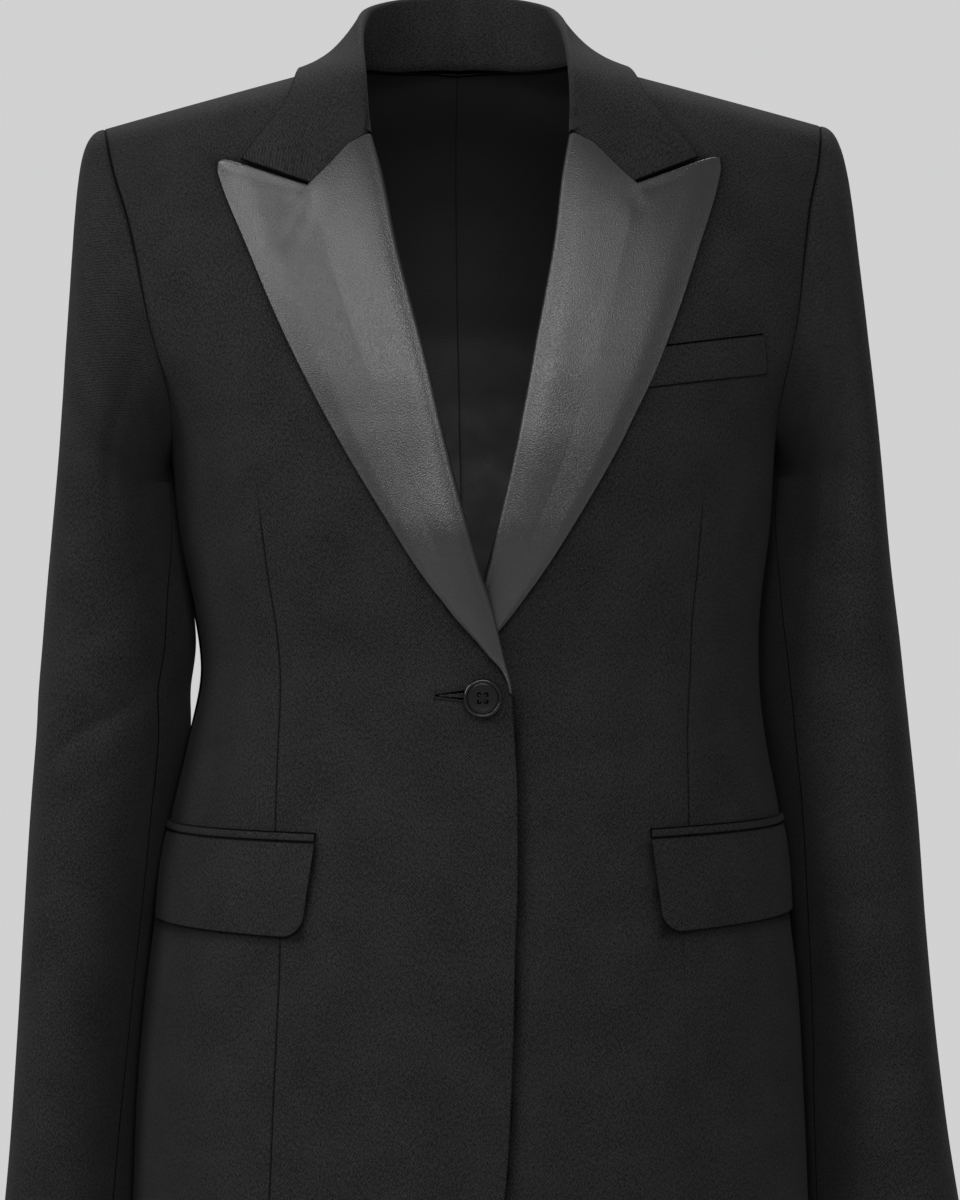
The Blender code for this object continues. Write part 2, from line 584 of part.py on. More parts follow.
def pocket_flap(name, side):
    """A flap that hangs from the pocket, its lower front corner rounded."""
    top = POCKET_TOP - SEAM
    along = (0.0, 0.02, 0.05, 0.1, 0.2, 0.35, 0.5, 0.65, 0.8, 0.92, 1.0)
    down = (0.0, 0.25, 0.5, 0.75, 0.9, 1.0)
    grid = np.zeros((len(down), len(along), 3))
    for place, share in enumerate(along):
        arc = share * FLAP_LENGTH
        cut = max(FLAP_ROUND - arc, 0.0)
        drop = FLAP_DROP - FLAP_ROUND + math.sqrt(FLAP_ROUND ** 2 - cut ** 2)
        drop -= FLAP_NARROWS * share
        for step, part in enumerate(down):
            height = top + POCKET_TILT * arc - drop * part
            slant = FLAP_SLANT * (1.0 - share) * drop * part / FLAP_DROP
            grid[step, place] = round_side(side, POCKET_OUT, height, arc + slant, FLAP_LIFT)
    return cloth(name, grid, "wool", TRIM_WALL, turned=side > 0)


def pocket_jet(name, side):
    """The narrow folded strip above a flap."""
    heights = (POCKET_TOP + JET_HEIGHT, POCKET_TOP + JET_HEIGHT / 2.0, POCKET_TOP)
    lifts = (JET_LIFT, JET_LIFT + 0.5, JET_LIFT)
    arcs = np.linspace(-0.5, FLAP_LENGTH + 0.5, 10)
    grid = np.array([[round_side(side, POCKET_OUT - 0.5, height + POCKET_TILT * arc, arc + 0.5, lift)
                      for arc in arcs]
                     for height, lift in zip(heights, lifts)])
    return cloth(name, grid, "wool", TRIM_WALL, turned=side > 0)


def chest_welt(name):
    """The slanted welt of the breast pocket, on the wearer's left."""
    across = np.linspace(WELT_INNER, WELT_OUTER, 8)
    top = WELT_TOP - (WELT_OUTER - across) * WELT_SLOPE
    grid = np.array([on_front(1.0, across, top - WELT_HEIGHT * part, WELT_LIFT)
                     for part in (0.0, 0.5, 1.0)])
    return cloth(name, grid, "wool", TRIM_WALL - 0.2, turned=True)


# ---------------------------------------------------------------- button
def front_button(name):
    """A turned button with a raised rim and four holes, fastened at the waist."""
    radius, thick = BUTTON_DIAMETER / 2.0, BUTTON_THICKNESS
    profile = ((0.0, 0.0), (radius - 2.0, 0.0), (radius - 0.4, 1.2), (radius, 2.4),
               (radius - 0.5, thick - 0.4), (radius - 1.2, thick), (radius - 2.0, thick - 0.4),
               (radius - 2.6, thick - 1.6), (0.0, thick - 1.6))
    mesh = bpy.data.meshes.new(name)
    shape = bmesh.new()
    corners = [shape.verts.new((out * MM, 0.0, up * MM)) for out, up in profile]
    edges = [shape.edges.new(pair) for pair in zip(corners[:-1], corners[1:])]
    bmesh.ops.spin(shape, geom=corners + edges, cent=(0, 0, 0), axis=(0, 0, 1), dvec=(0, 0, 0),
                   angle=2.0 * math.pi, steps=24, use_merge=True, use_duplicate=False)
    bmesh.ops.remove_doubles(shape, verts=shape.verts, dist=1e-6)
    bmesh.ops.recalc_face_normals(shape, faces=shape.faces)
    shape.to_mesh(mesh)
    shape.free()
    button = new_object(name, mesh, "button")
    mesh.shade_smooth()
    mesh.set_sharp_from_angle(angle=math.radians(40.0))
    seat = on_front(-1.0, np.array(BUTTON_OUT), np.array(BUTTON_LEVEL), BUTTON_SEAT) * MM
    button.location = seat
    button.rotation_euler = (math.radians(90.0), 0.0, 0.0)
    offset = BUTTON_HOLE_STEP / 2.0 * MM
    for number, (x, z) in enumerate(((1, 1), (1, -1), (-1, -1), (-1, 1))):
        spot = (seat[0] + x * offset, seat[1] - thick / 2.0 * MM, seat[2] + z * offset)
        bpy.ops.mesh.primitive_cylinder_add(vertices=10, radius=BUTTON_HOLE * MM,
                                            depth=3.0 * thick * MM, location=spot,
                                            rotation=(math.radians(90.0), 0.0, 0.0))
        cutter = bpy.context.object
        cutter.name = f"cut_hole_{number}"
        cutter.hide_render = True
        cutter.display_type = "WIRE"
        for owner in cutter.users_collection:
            owner.objects.unlink(cutter)
        bpy.data.collections["cutters"].objects.link(cutter)
        cut = button.modifiers.new(f"hole_{number}", "BOOLEAN")
        cut.operation = "DIFFERENCE"
        cut.solver = "EXACT"
        cut.object = cutter
    return button


# ---------------------------------------------------------------- the jacket
def main():
    for item in list(bpy.data.objects):
        bpy.data.objects.remove(item)
    for name in (COLLECTION, "cutters"):
        bpy.context.scene.collection.children.link(bpy.data.collections.new(name))

    for word, side in (("left", 1.0), ("right", -1.0)):
        forepart(f"front_{word}", side)
        backpart(f"back_{word}", side)
        lapel(f"lapel_{word}", side)
        sleeve_part(f"top_sleeve_{word}", side, under=False, count=10)
        sleeve_part(f"under_sleeve_{word}", side, under=True, count=5)
        pocket_flap(f"pocket_flap_{word}", side)
        pocket_jet(f"pocket_jet_{word}", side)
    collar("collar")
    chest_welt("chest_welt")
    front_button("front_button")


if __name__ == "__main__":
    main()
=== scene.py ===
"""Women's one-button tuxedo jacket: fine cloth, finishes, button work and a studio for its frame.

The tables are in millimetres and the finished meshes are in metres, with +Z up, the front facing
-Y and the wearer's left at +X.  Every panel is a thin shell that follows the body form or the
sleeve form of the frame; seams, darts, turned edges and soft creases are added along its normals.
"""

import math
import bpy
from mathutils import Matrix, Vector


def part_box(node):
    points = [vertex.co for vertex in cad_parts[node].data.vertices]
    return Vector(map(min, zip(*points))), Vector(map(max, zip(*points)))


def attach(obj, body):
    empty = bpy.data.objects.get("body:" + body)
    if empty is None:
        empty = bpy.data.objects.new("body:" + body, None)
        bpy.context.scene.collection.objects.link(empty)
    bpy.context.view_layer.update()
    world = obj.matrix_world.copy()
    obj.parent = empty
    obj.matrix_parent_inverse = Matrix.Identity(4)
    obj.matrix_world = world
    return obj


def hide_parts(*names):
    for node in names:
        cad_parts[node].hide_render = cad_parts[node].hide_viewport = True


bl_info = {
    "name": "Tuxedo Jacket",
    "version": (1, 0, 0),
    "blender": (4, 5, 0),
    "location": "View3D > Sidebar > Jacket",
    "description": "Builds a one-button tuxedo jacket with satin peak lapels on its frame",
    "category": "Object",
}

import bmesh
import bpy
import numpy as np
from mathutils import Matrix, Vector

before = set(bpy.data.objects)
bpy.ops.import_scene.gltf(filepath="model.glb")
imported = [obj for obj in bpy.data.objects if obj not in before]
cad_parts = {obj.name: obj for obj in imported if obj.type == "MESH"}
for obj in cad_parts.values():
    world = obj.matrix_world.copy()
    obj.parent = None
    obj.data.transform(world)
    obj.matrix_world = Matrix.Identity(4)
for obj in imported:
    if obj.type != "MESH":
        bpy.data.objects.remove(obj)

MM = 0.001

# ---------------------------------------------------------------- the form of the jacket (mm)
SHOULDER_SLOPE = 0.276      # fall of the shoulder line for each millimetre outwards
SHOULDER_ROUND = 30.0       # how softly the two slopes meet at the centre
SQUARENESS = 2.4            # 2 is an ellipse, more is a squarer section
CENTRE_SWAY = 0.4
NECK_HALF = 72.0
NECK_BACK = 52.0
SEAM = 0.36                 # space between two pieces at a seam
SIDE_RADIUS = 190.0         # usual half width of the body
SIDE_LAP = 0.3 / SIDE_RADIUS  # angle that the sewn panels run past their seams, 0.3 mm

# Sections of the body from the shoulder line to the hem: level at the centre, half width, depth
# to the front and the back, setback of the side line, share of the shoulder slope, lean to +X.
BODY_COLUMNS = ("level", "half", "front", "back", "side", "slope", "sway")
BODY_ROWS = (
    (12.5, 240.0, 0.0, 0.0, 0.0, 1.00, 0.0),
    (11.6, 240.0, 13.0, 16.0, 0.0, 0.99, 0.0),
    (8.0, 240.0, 28.0, 34.0, 0.0, 0.98, 0.0),
    (0.5, 240.0, 43.0, 52.0, 0.0, 0.95, 0.0),
    (-14.0, 240.0, 58.0, 68.0, 0.0, 0.92, 0.0),
    (-40.0, 238.0, 76.0, 85.0, 0.0, 0.82, 0.0),
    (-84.0, 233.0, 94.0, 99.0, 0.0, 0.60, 1.0),
    (-130.0, 225.0, 107.0, 106.0, 1.0, 0.36, 2.0),
    (-165.0, 213.0, 115.0, 109.0, 4.0, 0.20, 3.0),
    (-195.0, 195.5, 121.0, 109.0, 8.0, 0.08, 4.0),
    (-215.0, 186.0, 123.0, 108.0, 11.0, 0.03, 4.0),
    (-232.0, 181.5, 124.0, 107.0, 13.0, 0.00, 4.5),
    (-275.0, 178.0, 121.0, 101.0, 14.0, 0.00, 5.0),
    (-320.0, 172.0, 111.0, 95.0, 14.0, 0.00, 6.5),
    (-361.0, 168.5, 104.0, 92.0, 14.0, 0.00, 8.0),
    (-408.0, 174.5, 107.0, 98.0, 14.0, 0.00, 5.0),
    (-460.0, 184.5, 113.0, 108.0, 14.0, 0.00, 3.2),
    (-513.0, 190.9, 119.0, 115.0, 13.0, 0.00, 1.1),
    (-563.0, 196.7, 123.0, 119.0, 12.0, 0.00, 0.1),
    (-620.0, 200.3, 126.0, 121.0, 10.0, 0.00, -1.4),
    (-680.0, 202.8, 129.0, 122.0, 10.0, 0.00, -1.9),
    (-740.0, 205.2, 131.0, 123.0, 10.0, 0.00, -2.4),
)
UNDERARM_ROW = 11.0
HEM_ROW = len(BODY_ROWS) - 1.0

# Edges seen from the front: (height, distance out from the centre front on its own side).
ARMHOLE = ((-232, 181.5), (-219, 180.5), (-201, 182), (-157, 191), (-118, 197), (-92, 202),
           (-67, 209), (-36, 215))
ROLL_LINE = ((-377, -15.7), (-370, -14.6), (-361.5, -12.4), (-330, -6), (-299, 3.2),
             (-241, 18), (-176, 32), (-112, 46), (-75, 52), (-51, 57.5))
LAPEL_EDGE = ((-377, -15.3), (-373.5, -14.0), (-362, -8.7), (-355, -2.9), (-345, 4.2),
              (-330, 16.5), (-299, 39), (-242, 74.5), (-217, 88), (-185, 104), (-152, 118),
              (-115, 132), (-83, 143.8), (-60.9, 149.8))
GORGE = ((57.5, -51), (68.6, -57), (79.8, -68.5), (93.5, -81))   # (distance out, height)
LAPEL_TIP = (149.8, -60.9)
COLLAR_CORNER = (133, -66)
TIP_ROUND = 11.0
NECK_EDGE = ((-51, 62.4), (-25, 68.5), (1, 72.5))
FRONT_EDGE = ((-740, 48), (-730, 24), (-715, 8), (-695, -3), (-665, -11), (-595, -16),
              (-529, -18), (-485, -19.7), (-441, -19.8), (-408, -18.5), (-385, -16.5))
DART = ((-740, 127), (-666, 123), (-573, 119), (-519, 117), (-453, 120.5), (-389, 119.5),
        (-345, 121), (-300, 126), (-247, 130), (-120, 130), (-15, 126))
DART_TIP = -246.0

ROLL_RADIUS = 3.1
ROLL_INSET = 4.9
FALL_HEIGHT = 4.6
LAP_UNDER_LAPEL, LAP = 7.0, 2.4          # how far the right front stands off the left one
LAP_FULL, LAP_NONE, LAP_BELOW = 24.0, 75.0, 0.9

COLLAR_COLUMNS = ("seam_out", "seam_row", "fold_out", "fold_y", "fold_z", "edge_out", "edge_row")
COLLAR_STATIONS = (
    (62.4, 5.20, 60.6, -77.4, -51.0, 133.0, 5.06),
    (67.0, 3.55, 62.5, -56.0, -15.0, 104.0, 3.45),
    (71.5, 0.00, 62.0, -8.0, 15.0, 95.0, 0.00),
    (62.0, -1.55, 57.0, 30.0, 33.0, 83.0, -2.20),
    (36.0, -2.65, 33.0, 50.0, 42.0, 49.0, -3.50),
    (0.0, -3.00, 0.0, 57.0, 44.5, 0.0, -3.75),
)

SLEEVE_COLUMNS = ("level", "outer", "inner", "front", "back", "outer_sway", "inner_sway",
                  "seam_right", "seam_left")
SLEEVE_ROWS = (
    (-250.0, 240.1, 183.3, 71.0, 71.0, -0.3, 5.6, 0.486, 0.526),
    (-300.0, 246.1, 177.3, 66.0, 72.0, 0.0, 6.8, 0.438, 0.482),
    (-345.0, 251.6, 173.2, 62.0, 70.0, 0.8, 7.1, 0.402, 0.441),
    (-375.0, 254.8, 174.8, 60.0, 68.0, 1.1, 5.3, 0.395, 0.424),
    (-398.0, 256.9, 175.6, 58.5, 66.5, 1.6, 6.1, 0.396, 0.421),
    (-450.0, 261.6, 185.3, 57.0, 63.0, 1.8, 4.4, 0.424, 0.437),
    (-513.0, 265.8, 193.4, 56.5, 58.5, 1.6, 1.9, 0.445, 0.452),
    (-570.0, 270.1, 199.7, 56.0, 54.0, 2.0, 0.7, 0.450, 0.471),
    (-640.0, 276.8, 203.5, 56.5, 48.5, 3.2, -0.9, 0.432, 0.483),
    (-705.0, 285.4, 205.8, 57.0, 43.0, 4.8, -1.4, 0.408, 0.489),
)
SLEEVE_TURN = -0.20
SLEEVE_SQUARENESS = 2.3
CAP_START = -0.4
# Lengthwise sleeve seams at the armhole as shares of the way round (outer, front, inner, back);
# along the arm the forearm seam follows its columns above and the hindarm seam its own share.
SEAM_AT_ARMHOLE = (0.50, 0.70)
HINDARM_SEAM = 0.72
SLEEVE_SEAM = -0.0012

POCKET_TOP = -461.0
POCKET_OUT = 97.0
FLAP_LENGTH, FLAP_DROP, FLAP_SLANT, FLAP_ROUND, FLAP_NARROWS = 138.0, 55.0, 8.0, 13.0, 3.0
POCKET_TILT = 0.032
FLAP_LIFT, WELT_LIFT = 1.9, 1.6
WELT_INNER, WELT_OUTER, WELT_TOP, WELT_HEIGHT, WELT_SLOPE = 97.0, 169.5, -169.5, 22.0, 0.127

BUTTON_LEVEL = -379.0
HOLE_STEP, HOLE_RADIUS = 4.1, 1.05
BUTTONHOLE_LEVEL = -377.2
BUTTONHOLE_START, BUTTONHOLE_END = 6.0, 28.3    # distances out on the right front
DISH_DROP = 1.52              # from the top of the button's rim to the middle of its face

# Painted shade along turned edges, seams, darts, gorges and pockets' mouths: how dark its line is (1 is
# black) and how far it reaches over the cloth.
FREE_SHADE, FREE_REACH = 0.8, 0.6
DART_SHADE, DART_REACH = 0.42, 0.8
COLLAR_SHADE, EDGE_REACH = 0.85, 1.1
MOUTH_REACH, SEAM_REACH, SEWN_REACH = 1.25, 1.15, 1.7

# ---------------------------------------------------------------- soft creases (mm)
# Each row is x0, z0, x1, z1, width, depth, for the wearer's right (-1.0) or left (1.0) side.
# From (x0, z0) to (x1, z1) on the cloth as seen from the front or the back, x along +X.
# depth above 0 is a trough and below 0 a ridge; width is how far it spreads to each side.
FRONT_CREASES = {
    -1.0: (
        (-34, -384, -108, -405, 9, 0.9),        # drag from the button
        (-30, -372, -92, -343, 11, 1.1),
        (-40, -395, -82, -440, 12, 0.7),
        (-58, -330, -112, -262, 18, 1.6),       # hollow under the lapel
        (-152, -246, -150, -372, 12, 2.2),      # fullness falling from the armhole
        (-136, -262, -134, -330, 9, -1.1),
        (-176, -300, -168, -420, 8, 1.3),
        (-70, -552, -84, -738, 20, 1.6),        # skirt
        (-163, -540, -178, -738, 13, 1.8),
        (-30, -600, -40, -730, 16, -1.0),
        (-134, -620, -146, -738, 12, -1.1),
        (-160, -118, -176, -222, 10, 1.5),      # beside the armhole
    ),
    1.0: (
        (26, -380, 104, -366, 11, 0.9),
        (24, -398, 92, -440, 13, 0.8),
        (52, -336, 104, -270, 18, 1.5),
        (157, -250, 152, -372, 12, 2.3),
        (139, -262, 139, -338, 9, -1.2),
        (173, -300, 168, -425, 8, 1.3),
        (124, -560, 132, -738, 12, 1.7),
        (78, -580, 92, -738, 16, -1.2),
        (44, -560, 62, -738, 17, 1.3),
        (172, -540, 182, -738, 12, 1.7),
        (164, -122, 178, -222, 9, 1.4),
    ),
}
BACK_CREASES = {
    -1.0: (
        (-150, -170, -124, -300, 14, 2.0),      # beside the shoulder blade
        (-60, -330, -140, -352, 10, 1.4),       # small of the back
        (-48, -366, -130, -392, 10, -1.1),
        (-70, -388, -150, -430, 12, 1.2),
        (-96, -500, -118, -736, 22, 2.0),
        (-36, -540, -30, -736, 16, -1.2),
        (-164, -520, -176, -736, 13, 1.6),
        (-90, -40, -130, -90, 14, 0.9),
    ),
    1.0: (
        (152, -176, 128, -306, 14, 1.9),
        (56, -322, 146, -346, 10, 1.3),
        (60, -372, 136, -384, 9, -1.0),
        (52, -394, 150, -424, 12, 1.2),
        (88, -490, 104, -736, 20, 2.1),
        (32, -560, 36, -736, 14, -1.1),
        (162, -530, 180, -736, 13, 1.5),
        (94, -42, 132, -96, 14, 0.8),
    ),
}
# On a sleeve x is the share of the way round times 100.
SLEEVE_CREASES = {
    -1.0: (
        (15, -414, 36, -374, 5.5, 2.6),         # bend of the elbow
        (12, -398, 27, -366, 6, -1.2),
        (20, -440, 37, -408, 7, 1.3),
        (18, -350, 34, -322, 8, 1.0),
        (60, -396, 84, -372, 8, 1.6),
        (64, -420, 90, -410, 7, -1.2),
        (70, -452, 86, -438, 7, 1.1),
        (8, -180, 10, -330, 7, 0.8),
        (31, -170, 29, -300, 5, 1.3),
        (24, -590, 33, -612, 6, 0.9),
        (90, -560, 94, -690, 8, 0.9),
    ),
    1.0: (
        (20, -392, 40, -412, 7, 1.1),
        (33, -606, 42, -640, 4.5, 1.5),
        (35, -650, 43, -668, 4, 0.8),
        (28, -470, 41, -500, 7, 0.9),
        (32, -180, 35, -320, 5, 1.4),
        (10, -170, 9, -330, 7, 0.8),
        (60, -390, 82, -368, 8, 1.5),
        (62, -424, 88, -408, 7, -1.1),
        (94, -540, 92, -690, 8, 0.9),
    ),
}
# On the satin: distance out and height.
LAPEL_CREASES = {
    -1.0: (
        (94, -83, 106, -93, 2.6, -0.7),         # pull below the notch
        (91, -86, 113, -126, 7.0, 1.9),
        (104, -84, 124, -102, 6.0, 0.45),
        (120, -90, 92, -170, 16, -0.9),
        (60, -150, 34, -260, 12, 0.8),
    ),
    1.0: (
        (95, -84, 101, -93, 2.4, -0.35),
        (92, -85, 96, -104, 5.0, 0.5),
        (112, -96, 84, -190, 15, -0.9),
        (62, -150, 40, -240, 12, 0.7),
    ),
}

SHARE_MM = 3.3    # millimetres of cloth in each hundredth of the way round a sleeve


def size(name):
    """A size from the scene's settings, in millimetres."""
    return getattr(bpy.context.scene.jacket_sizes, name) / MM


# ---------------------------------------------------------------- smooth tables
def smooth(knots, values, at):
    """A curve through the knots that never overshoots them, read at one place or many."""
    knots, values = np.asarray(knots, float), np.asarray(values, float)
    at = np.clip(np.asarray(at, float), knots[0], knots[-1])
    width = np.diff(knots)
    rise = np.diff(values) / width
    slope = np.empty(len(knots))
    slope[0], slope[-1] = rise[0], rise[-1]
    before, after = rise[:-1], rise[1:]
    turning = before * after <= 0
    weight = width[:-1] + width[1:]
    share = np.where(turning, 1.0, before * after)
    mean = np.where(turning, 1.0, (weight + width[1:]) * after + (weight + width[:-1]) * before)
    slope[1:-1] = np.where(turning, 0.0, 3.0 * weight * share / mean)
    cell = np.clip(np.searchsorted(knots, at, side="right") - 1, 0, len(knots) - 2)
    part = (at - knots[cell]) / width[cell]
    square, cube = part * part, part ** 3
    return (values[cell] * (2 * cube - 3 * square + 1)
            + slope[cell] * width[cell] * (cube - 2 * square + part)
            + values[cell + 1] * (3 * square - 2 * cube)
            + slope[cell + 1] * width[cell] * (cube - square))


def edge_out(table, height):
    """Distance out at a height, from a table of (height, distance) pairs."""
    heights, distances = zip(*table)
    return smooth(heights, distances, height)


def column(rows, columns, name, at):
    """One column of a section table, at row position `at`."""
    place = columns.index(name)
    return smooth(np.arange(len(rows)), [row[place] for row in rows], at)


def fade(value, start, end):
    """0 before start, 1 after end, with a smooth turn between them."""
    part = np.clip((np.asarray(value, float) - start) / (end - start), 0.0, 1.0)
    return part * part * (3.0 - 2.0 * part)


def unit(vectors):
    """The same directions, one millimetre long."""
    return vectors / np.maximum(np.linalg.norm(vectors, axis=-1, keepdims=True), 1e-9)


# ---------------------------------------------------------------- the body form
def body_level(out, row):
    """Height of the form at distance `out` from the centre, on a row."""
    row = np.abs(row)
    soft = np.sqrt(np.square(out) + SHOULDER_ROUND ** 2) - SHOULDER_ROUND
    slope = column(BODY_ROWS, BODY_COLUMNS, "slope", row)
    return column(BODY_ROWS, BODY_COLUMNS, "level", row) - slope * SHOULDER_SLOPE * soft


def body(side, angle, row):
    """Points of the body's outer face: angle 0 is the centre front, 180 degrees the centre back.

    A negative row is the same row on the other face, so rows run over the shoulder unbroken.
    """
    angle, row = np.broadcast_arrays(np.asarray(angle, float), np.asarray(row, float))
    level = np.abs(row)
    half, front, back, line, sway = (column(BODY_ROWS, BODY_COLUMNS, name, level)
                                     for name in ("half", "front", "back", "side", "sway"))
    sway = sway * (CENTRE_SWAY + (1.0 - CENTRE_SWAY) * np.square(np.sin(angle)))
    facing = np.where(row < 0, -1.0, 1.0) * np.where(np.cos(angle) < 0, -1.0, 1.0)
    out = half * np.sin(angle)
    bulge = np.maximum(1.0 - np.abs(np.sin(angle)) ** SQUARENESS, 0.0) ** (1.0 / SQUARENESS)
    depth = np.where(facing > 0, -(front + line), back - line) * bulge + line
    return np.stack((side * out + sway, depth, body_level(out, level)), axis=-1)


def body_normal(side, angle, row):
    """Outward directions of the body form."""
    step = 0.004
    across = body(side, angle + step, row) - body(side, angle - step, row)
    inside = np.clip(np.abs(row), 0.03, HEM_ROW - 0.03) * np.where(np.asarray(row) < 0, -1.0, 1.0)
    down = body(side, angle, inside + 0.03) - body(side, angle, inside - 0.03)
    return unit(side * np.cross(down, across))


def angle_at(out, row):
    """The angle at which a row reaches this distance from the centre."""
    half = column(BODY_ROWS, BODY_COLUMNS, "half", np.abs(row))
    return np.arcsin(np.clip(np.asarray(out, float) / half, -1.0, 1.0))


def row_at(out, height):
    """The row that passes through this height at distance `out`."""
    low = np.zeros(np.broadcast(out, height).shape)
    high = low + HEM_ROW
    for _ in range(34):
        middle = (low + high) / 2.0
        below = body_level(out, middle) > height
        low, high = np.where(below, middle, low), np.where(below, high, middle)
    return (low + high) / 2.0


def lap_lift(side, out, height):
    """How far the right front is lifted where it passes over the left one."""
    if side > 0:
        return np.zeros(np.broadcast(out, height).shape)
    under_lapel = 1.0 - fade(-height, 374.0, 412.0)
    amount = LAP + LAP_BELOW * fade(-height, 392.0, 430.0)
    amount = (amount + (LAP_UNDER_LAPEL - LAP) * under_lapel) * fade(-height, 225.0, 292.0)
    return amount * (1.0 - fade(out, LAP_FULL, LAP_NONE))


def on_front(side, out, height, lift=0.0):
    """Points over a forepart at (distance out, height), `lift` above its outer face."""
    out, height, lift = np.broadcast_arrays(out, height, lift)
    row = row_at(out, height)
    angle = angle_at(out, row)
    total = lift + lap_lift(side, out, height) - cloth_sink(side, out, height)
    return body(side, angle, row) + body_normal(side, angle, row) * total[..., None]


def crossing(row, table):
    """Where an edge given as (height, distance out) pairs crosses a row."""
    height = body_level(100.0, row)
    for _ in range(12):
        out = edge_out(table, height)
        height = body_level(out, row)
    return out


def armhole_angle(row):
    """Side end of a row: the armhole above the underarm, the side seam below it."""
    out = crossing(np.minimum(row, UNDERARM_ROW), ARMHOLE)
    return np.where(row >= UNDERARM_ROW, math.pi / 2.0, angle_at(out, np.minimum(row, UNDERARM_ROW)))


def neck_angle(row):
    """Inner end of a back row: the oval of the back neck, then the centre back."""
    depth = column(BODY_ROWS, BODY_COLUMNS, "back", row)
    return angle_at(NECK_HALF * np.sqrt(np.maximum(1.0 - (depth / NECK_BACK) ** 2, 0.0)), row)


# ---------------------------------------------------------------- creases
def creases(x, z, table):
    """How deep the troughs and ridges of a table lie at each point."""
    total = np.zeros(np.broadcast(x, z).shape)
    for x0, z0, x1, z1, width, depth in table:
        run = np.array((x1 - x0, z1 - z0), float)
        length = np.hypot(*run)
        along = ((x - x0) * run[0] + (z - z0) * run[1]) / length ** 2
        away = ((x - x0) * run[1] - (z - z0) * run[0]) / length
        away = away + 0.12 * width * np.sin(5.0 * along + x0)      # no crease runs dead straight
        spread = width * (0.75 + 0.5 * np.clip(along, 0.0, 1.0))
        ends = fade(along, -0.12, 0.35) * (1.0 - fade(along, 0.6, 1.12))
        total = total + depth * ends * np.exp(-np.square(away / spread))
    return total


def cloth_sink(side, out, height):
    """Depth of the creases of a forepart, and of the hollow that the button pulls in."""
    x = side * np.asarray(out, float)
    sink = creases(x, height, FRONT_CREASES[side])
    reach = np.hypot(x - 2.0, (height - BUTTON_LEVEL) * 0.8)
    sink = sink + 0.9 * np.exp(-np.square(reach / 17.0))
    return sink


# ---------------------------------------------------------------- shells
EDGE_STEPS = np.array((0.0, 0.1, 0.3, 0.6, 1.0, 1.6, 2.6))


def stations(length, spacing, first=True, last=True):
    """Distances from 0 to length, close together at the ends that are finished edges."""
    places = np.linspace(0.0, length, max(int(round(length / spacing)), 2) + 1)
    reach = EDGE_STEPS[-1] + spacing / 3.0
    if first:
        places = np.concatenate((EDGE_STEPS, places[places > reach]))
    if last:
        places = np.concatenate((places[places < length - reach], length - EDGE_STEPS[::-1]))
    return places


def near(distance, reach, soft=0.5):
    """0 beyond `reach` and 1 when closer by `soft`, in a straight slope."""
    return np.clip((reach - distance) / soft, 0.0, 1.0)


def run_lengths(points, axis):
    """Distance along a grid's rows or columns from their first point."""
    steps = np.linalg.norm(np.diff(points, axis=axis), axis=-1)
    zero = np.zeros_like(np.take(steps, [0], axis=axis))
    return np.cumsum(np.concatenate((zero, steps), axis=axis), axis=axis)


def turned_down(distance, radius):
    """1 at an edge and 0 beyond `radius` from it, falling like a quarter of a circle."""
    part = np.clip(1.0 - distance / radius, 0.0, 1.0)
    return 1.0 - np.sqrt(1.0 - part * part)


def grid_normal(points, outward):
    """Outward directions of a grid of points."""
    return unit(np.cross(np.gradient(points, axis=1), np.gradient(points, axis=0))) * outward


